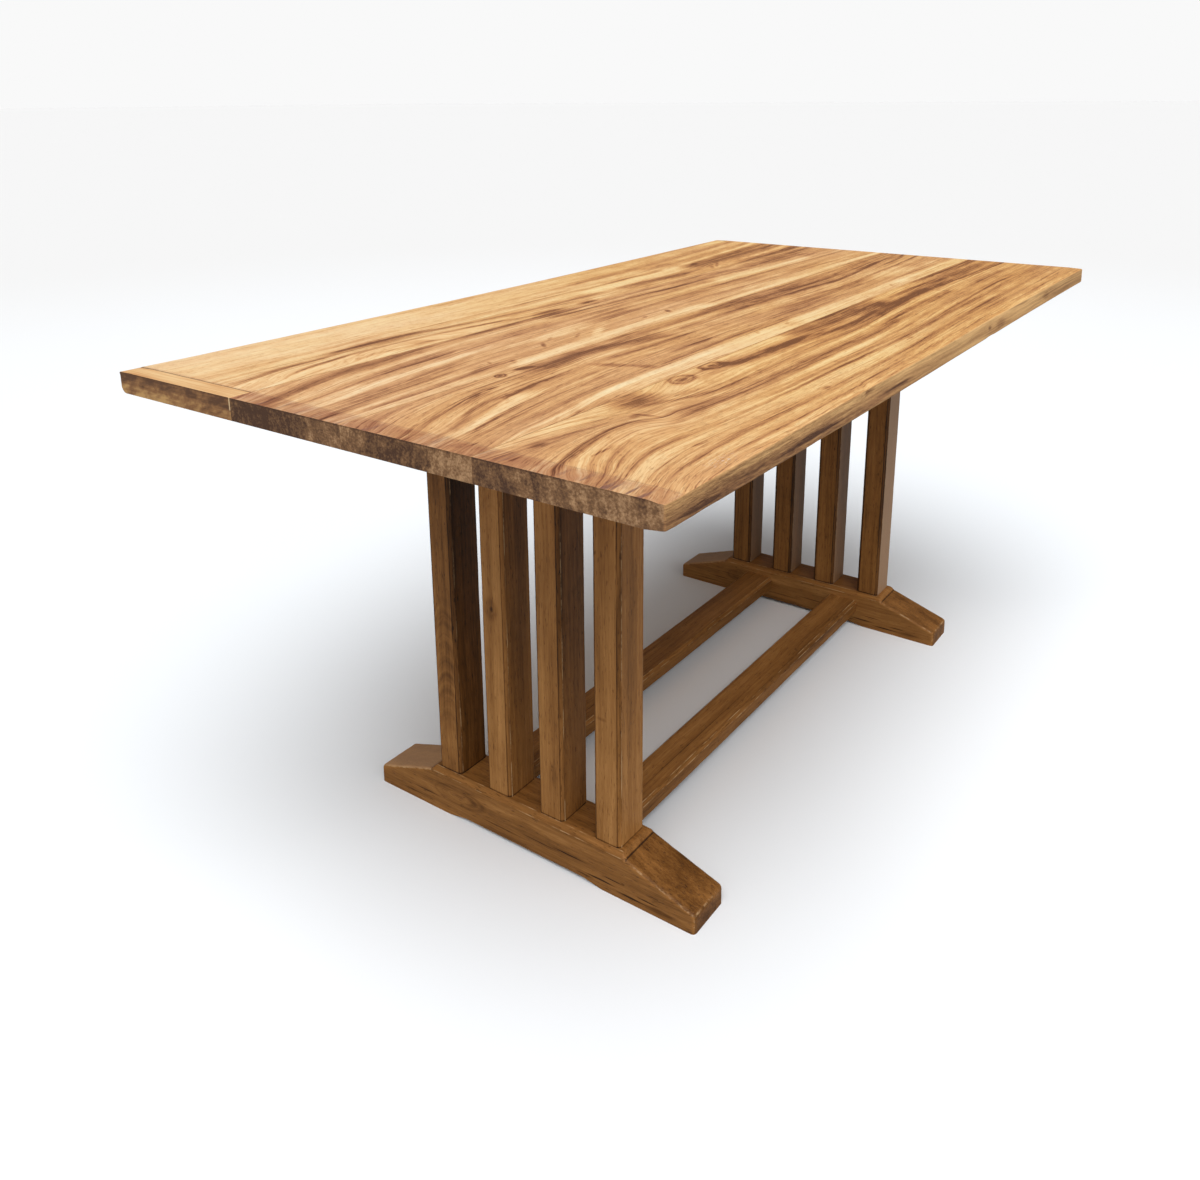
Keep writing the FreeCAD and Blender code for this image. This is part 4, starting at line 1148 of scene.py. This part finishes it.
def model_leg(low, high, base):
    """Leg with chamfered arrises, up to its shoulders, and a stub tenon at each end."""
    shoulders = Vector((low.x, low.y, FOOT_TOP)), Vector((high.x, high.y, BEARER_UNDERSIDE))
    piece = block("leg_wood", *shoulders)
    bevel(piece, lambda edge: runs_along(edge, Z), base.leg_chamfer, 1)
    bevel(piece, lambda edge: runs_along(edge, Z), base.arris, 2)
    divide(piece, lambda edge: runs_along(edge, Z), LEG_CUTS)
    middle = (low + high) / 2
    share = (LEG_TENON.x / (high.x - low.x), LEG_TENON.y / (high.y - low.y), 1.0)
    for shoulder, end in ((FOOT_TOP, low.z), (BEARER_UNDERSIDE, high.z)):
        def at_shoulder(face):
            return abs(face.normal.z) > 0.9 and abs(face.calc_center_median().z - shoulder) < TOUCH

        add_tenon(piece, at_shoulder, share, (middle.x, middle.y, shoulder), (0, 0, end - shoulder))
    put_down()
    return piece


class TRESTLE_OT_legs(bpy.types.Operator):
    """Models one leg and copies it to all eight places, each with its own wear and grain"""
    bl_idname = "trestle.legs"
    bl_label = "Legs"

    def execute(self, context):
        base = context.scene.trestle_base
        tones = [0.44, 0.18, 0.25, 0.26, 0.52, 0.48, 0.42, 0.46]
        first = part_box(LEGS[0])
        pattern = model_leg(*first, base)
        for number, (node, tone) in enumerate(zip(LEGS, tones)):
            piece = pattern.copy()
            piece.data = pattern.data.copy()
            piece.name = piece.data.name = f"{node}_wood"
            context.scene.collection.objects.link(piece)
            alone(piece)
            piece.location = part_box(node)[0] - first[0]
            bpy.ops.object.transform_apply(location=True, rotation=True, scale=True)
            seed = 3.1 * number + 1

            def worn(place):
                if not FOOT_TOP < place.z < BEARER_UNDERSIDE:
                    return 0.0
                return base.wear * (0.3 + 1.4 * chips(place.x * 90, place.y * 90, place.z * 9 + seed, 3))

            carve(piece, worn)
            settle(piece, node, leg_wood(node, base, seed, tone))
        bpy.data.objects.remove(pattern)
        return {"FINISHED"}


def model_foot(node, base):
    """Foot beam with sloped toes, a bevelled platform and a relief underneath."""
    low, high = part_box(node)
    side_top = high.z - PLATFORM_BEVEL
    piece = block(f"{node}_wood", low, Vector((high.x, high.y, side_top)))
    folds = [sign * place for place in (SLOPE_START, RELIEF_START, RELIEF_END) for sign in (1, -1)]
    slice_at(piece, Y, folds)

    def toe_top(vertex):
        return abs(abs(vertex.co.y) - high.y) < TOUCH and vertex.co.z > side_top - TOUCH

    pick(piece, "VERT", toe_top)
    bpy.ops.transform.translate(value=(0, 0, TOE_HEIGHT - side_top))
    pick(piece, "VERT", lambda vertex: abs(vertex.co.y) < RELIEF_END + TOUCH and vertex.co.z < TOUCH)
    bpy.ops.transform.translate(value=(0, 0, RELIEF_DEPTH))

    def platform(face):
        middle = face.calc_center_median()
        return abs(middle.y) < SLOPE_START and middle.z > side_top - TOUCH

    pick(piece, "FACE", platform)
    bpy.ops.mesh.inset(thickness=PLATFORM_BEVEL, depth=PLATFORM_BEVEL)

    def arris(edge):
        middle = middle_of(edge)
        crease = runs_along(edge, X) and abs(abs(middle.y) - SLOPE_START) < TOUCH
        return edge.calc_face_angle(0) > math.radians(12) and middle.z > RELIEF_DEPTH + TOUCH and not crease

    def toe(edge):
        return abs(middle_of(edge).y) > SLOPE_START + TOUCH and arris(edge)

    bevel(piece, toe, base.toe_radius, 4)
    bevel(piece, lambda edge: arris(edge) and abs(middle_of(edge).y) < SLOPE_START - TOUCH, FOOT_ARRIS, 2)
    slice_at(piece, Y, steps(low.y, high.y, FINE_STEP))
    slice_at(piece, Z, steps(low.z, side_top, FINE_STEP))
    slice_at(piece, X, steps(low.x, high.x, 2 * FINE_STEP))
    put_down()
    return piece


class TRESTLE_OT_feet(bpy.types.Operator):
    """Models the two feet, with worn arrises and rounded toes"""
    bl_idname = "trestle.feet"
    bl_label = "Feet"

    def execute(self, context):
        base = context.scene.trestle_base
        for number, node in enumerate(FEET):
            piece = model_foot(node, base)
            seed = 5.3 + 2.7 * number

            def worn(place):
                if place.z < 2 * MM:
                    return 0.0
                return base.wear * (0.15 + 1.2 * chips(place.x * 60, place.y * 40 + seed, place.z * 60, 4))

            carve(piece, worn)
            settle(piece, node, foot_wood(node, base, seed, 0.44 - 0.08 * number))
        return {"FINISHED"}


def model_stretcher(node, base):
    """Stretcher with broad upper chamfers and a stub tenon at each end."""
    low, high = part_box(node)
    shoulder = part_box("far_foot")[0].x
    piece = block(f"{node}_wood", Vector((-shoulder, low.y, low.z)), Vector((shoulder, high.y, high.z)))

    def lengthwise(edge, z):
        return runs_along(edge, X) and abs(middle_of(edge).z - z) < TOUCH

    bevel(piece, lambda edge: lengthwise(edge, high.z), STRETCHER_CHAMFER, 1)
    bevel(piece, lambda edge: lengthwise(edge, low.z), STRETCHER_LOWER_CHAMFER, 2)
    upper = high.z - STRETCHER_CHAMFER - TOUCH
    bevel(piece, lambda edge: runs_along(edge, X) and middle_of(edge).z > upper, base.arris, 2)
    divide(piece, lambda edge: runs_along(edge, X), STRETCHER_CUTS)
    middle = (low + high) / 2
    share = (1.0, STRETCHER_TENON.y / (high.y - low.y), STRETCHER_TENON.z / (high.z - low.z))
    for sign in (-1, 1):
        def at_shoulder(face):
            return sign * face.normal.x > 0.9 and sign * face.calc_center_median().x > shoulder - TOUCH

        end = (sign * shoulder, middle.y, middle.z)
        add_tenon(piece, at_shoulder, share, end, (sign * STRETCHER_TENON_DEPTH, 0, 0))
    put_down()
    return piece, shoulder


class TRESTLE_OT_stretchers(bpy.types.Operator):
    """Models the two stretchers between the feet"""
    bl_idname = "trestle.stretchers"
    bl_label = "Stretchers"

    def execute(self, context):
        base = context.scene.trestle_base
        for number, node in enumerate(STRETCHERS):
            piece, shoulder = model_stretcher(node, base)
            seed = 2.2 + 4.9 * number

            def worn(place):
                if abs(place.x) > shoulder - TOUCH:
                    return 0.0
                return base.wear * (0.3 + 1.8 * chips(place.x * 30 + seed, place.y * 90, place.z * 90, 4))

            carve(piece, worn)
            settle(piece, node, stretcher_wood(node, base, seed, 0.40 + 0.04 * number))
        return {"FINISHED"}


class TRESTLE_OT_hidden_fixings(bpy.types.Operator):
    """Gives the bearers, tongues, screws and washers their finishes"""
    bl_idname = "trestle.hidden_fixings"
    bl_label = "Bearers and fixings"

    def execute(self, context):
        base = context.scene.trestle_base
        finishes = {}
        for number, node in enumerate(BEARERS):
            finishes[node] = bearer_wood(node, base, 6.0 + number, 0.55)
        finishes.update(dict.fromkeys(TONGUES, tongue_wood()))
        finishes.update(dict.fromkeys(FIXINGS, screw_steel()))
        for node, finish in finishes.items():
            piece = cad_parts[node]
            piece.data.materials.clear()
            piece.data.materials.append(finish)
        return {"FINISHED"}


# Place and turns of the camera, in metres and degrees, and the shift of its frame, as a share of its width
CAMERA_PLACE = Vector((-1.5950, -0.9114, 1.1142))
CAMERA_AZIMUTH = -54.53
CAMERA_ELEVATION = 15.48
CAMERA_ROLL = -0.4
CAMERA_SHIFT = -0.1636

# The floor, in metres, how pale it is where it has faded into the backdrop, and how pale to other surfaces
FLOOR_SIZE = 400.0
FLOOR_FADE = (1.0, 7.0)
BACKDROP = 0.947
FAR_FLOOR = 0.97 * BACKDROP
FLOOR_BOUNCE = 0.4

# Soft suns by the name of their strength: which way each shines and how many degrees wide it is
SUNS = {
    "overhead": ((0.37, 0.30, -1.0), 56.0),
    "end_side": ((0.95, 0.1, -0.22), 60.0),
    "long_side": ((0.1, 0.95, -0.22), 60.0),
}


def add_camera(lens):
    """Adds the camera and makes it the scene's own."""
    data = bpy.data.cameras.new("camera")
    data.lens = lens
    data.sensor_fit = "HORIZONTAL"
    data.sensor_width = 36.0
    data.shift_y = CAMERA_SHIFT
    camera = bpy.data.objects.new("camera", data)
    bpy.context.scene.collection.objects.link(camera)
    azimuth, elevation, roll = map(math.radians, (CAMERA_AZIMUTH, CAMERA_ELEVATION, CAMERA_ROLL))
    level = math.cos(elevation)
    back = Vector((math.sin(azimuth) * level, -math.cos(azimuth) * level, math.sin(elevation)))
    right = Z.cross(back).normalized()
    up = back.cross(right)
    across = right * math.cos(roll) + up * math.sin(roll)
    above = up * math.cos(roll) - right * math.sin(roll)
    turn = Matrix((across, above, back)).transposed().to_4x4()
    camera.matrix_world = Matrix.Translation(CAMERA_PLACE) @ turn
    bpy.context.scene.camera = camera


def add_soft_sun(name, direction, spread, strength):
    """Adds a broad soft light that shines evenly along a direction."""
    data = bpy.data.lights.new(name, "SUN")
    data.angle = math.radians(spread)
    data.energy = strength
    lamp = bpy.data.objects.new(name, data)
    bpy.context.scene.collection.objects.link(lamp)
    lamp.rotation_euler = Vector(direction).to_track_quat("-Z", "Y").to_euler()


def floor_finish(stage):
    """Pale floor that keeps the table's shadow, fades into the backdrop and throws back little light."""
    finish = Finish("pale_floor")
    x, y = finish.place()[:2]
    level = stage.sky
    for name, (direction, spread) in SUNS.items():
        level += getattr(stage, name) * -Vector(direction).normalized().z / math.pi
    far = finish.smooth(finish.math("SQRT", x * x + y * y), *FLOOR_FADE)
    # by the table a painted cool tint cancels the warm light thrown back by the wood; far off the floor
    # meets the backdrop
    shade = finish.mix(far, stage.floor, [FAR_FLOOR / level] * 3)
    seen = finish.node("ShaderNodeLightPath", {}, {}, "Is Camera Ray")
    shade = finish.mix(seen, [FLOOR_BOUNCE] * 3, shade)
    shader = finish.node("ShaderNodeBsdfDiffuse", {}, {"Color": shade})
    finish.node("ShaderNodeOutputMaterial", {}, {"Surface": shader})
    return finish.material


def light_sky(strength):
    """Even light from all round, which shows as white behind the table."""
    world = bpy.data.worlds.new("studio")
    world.use_nodes = True
    nodes, links = world.node_tree.nodes, world.node_tree.links
    nodes.clear()
    path = nodes.new("ShaderNodeLightPath")
    seen = nodes.new("ShaderNodeMath")
    seen.operation = "MAXIMUM"
    links.new(path.outputs["Is Camera Ray"], seen.inputs[0])
    links.new(path.outputs["Is Transmission Ray"], seen.inputs[1])
    lit = nodes.new("ShaderNodeMapRange")
    links.new(seen.outputs[0], lit.inputs["Value"])
    lit.inputs["To Min"].default_value = strength
    lit.inputs["To Max"].default_value = BACKDROP
    sky = nodes.new("ShaderNodeBackground")
    sky.inputs["Color"].default_value = (1.0, 1.0, 1.0, 1.0)
    links.new(lit.outputs[0], sky.inputs["Strength"])
    output = nodes.new("ShaderNodeOutputWorld")
    links.new(sky.outputs[0], output.inputs["Surface"])
    bpy.context.scene.world = world


class TRESTLE_OT_stage(bpy.types.Operator):
    """Adds the floor, the lights and the camera"""
    bl_idname = "trestle.stage"
    bl_label = "Stage"

    def execute(self, context):
        stage = context.scene.trestle_stage
        bpy.ops.object.select_all(action="DESELECT")
        bpy.ops.mesh.primitive_plane_add(size=FLOOR_SIZE, location=(0, 0, 0))
        floor = context.object
        floor.name = "floor"
        floor.data.materials.append(floor_finish(stage))
        light_sky(stage.sky)
        for name, (direction, spread) in SUNS.items():
            add_soft_sun(name, direction, spread, getattr(stage, name))
        add_camera(stage.lens)
        context.scene.view_settings.view_transform = "Standard"
        return {"FINISHED"}


OPERATORS = (
    TRESTLE_OT_top_boards,
    TRESTLE_OT_end_strip,
    TRESTLE_OT_legs,
    TRESTLE_OT_feet,
    TRESTLE_OT_stretchers,
    TRESTLE_OT_hidden_fixings,
    TRESTLE_OT_stage,
)


class TRESTLE_PT_table(bpy.types.Panel):
    """Lists what is modelled and the settings of each"""
    bl_idname = "TRESTLE_PT_table"
    bl_label = "Trestle dining table"
    bl_space_type = "VIEW_3D"
    bl_region_type = "UI"
    bl_category = "Table"

    def draw(self, context):
        for operator in OPERATORS:
            self.layout.operator(operator.bl_idname)
        for group in SETTINGS:
            settings = getattr(context.scene, group)
            column = self.layout.column()
            for name in settings.bl_rna.properties.keys():
                if name not in ("rna_type", "name"):
                    column.prop(settings, name)


SETTINGS = {"trestle_top": TopSettings, "trestle_base": BaseSettings, "trestle_stage": StageSettings}


def register():
    for kind in (*SETTINGS.values(), *OPERATORS, TRESTLE_PT_table):
        bpy.utils.register_class(kind)
    for name, kind in SETTINGS.items():
        setattr(bpy.types.Scene, name, bpy.props.PointerProperty(type=kind))


def unregister():
    for name in SETTINGS:
        delattr(bpy.types.Scene, name)
    for kind in (TRESTLE_PT_table, *reversed(OPERATORS), *SETTINGS.values()):
        bpy.utils.unregister_class(kind)


def main():
    register()
    bpy.ops.trestle.top_boards()
    bpy.ops.trestle.end_strip()
    bpy.ops.trestle.legs()
    bpy.ops.trestle.feet()
    bpy.ops.trestle.stretchers()
    bpy.ops.trestle.hidden_fixings()
    bpy.ops.trestle.stage()


if __name__ == "__main__":
    main()
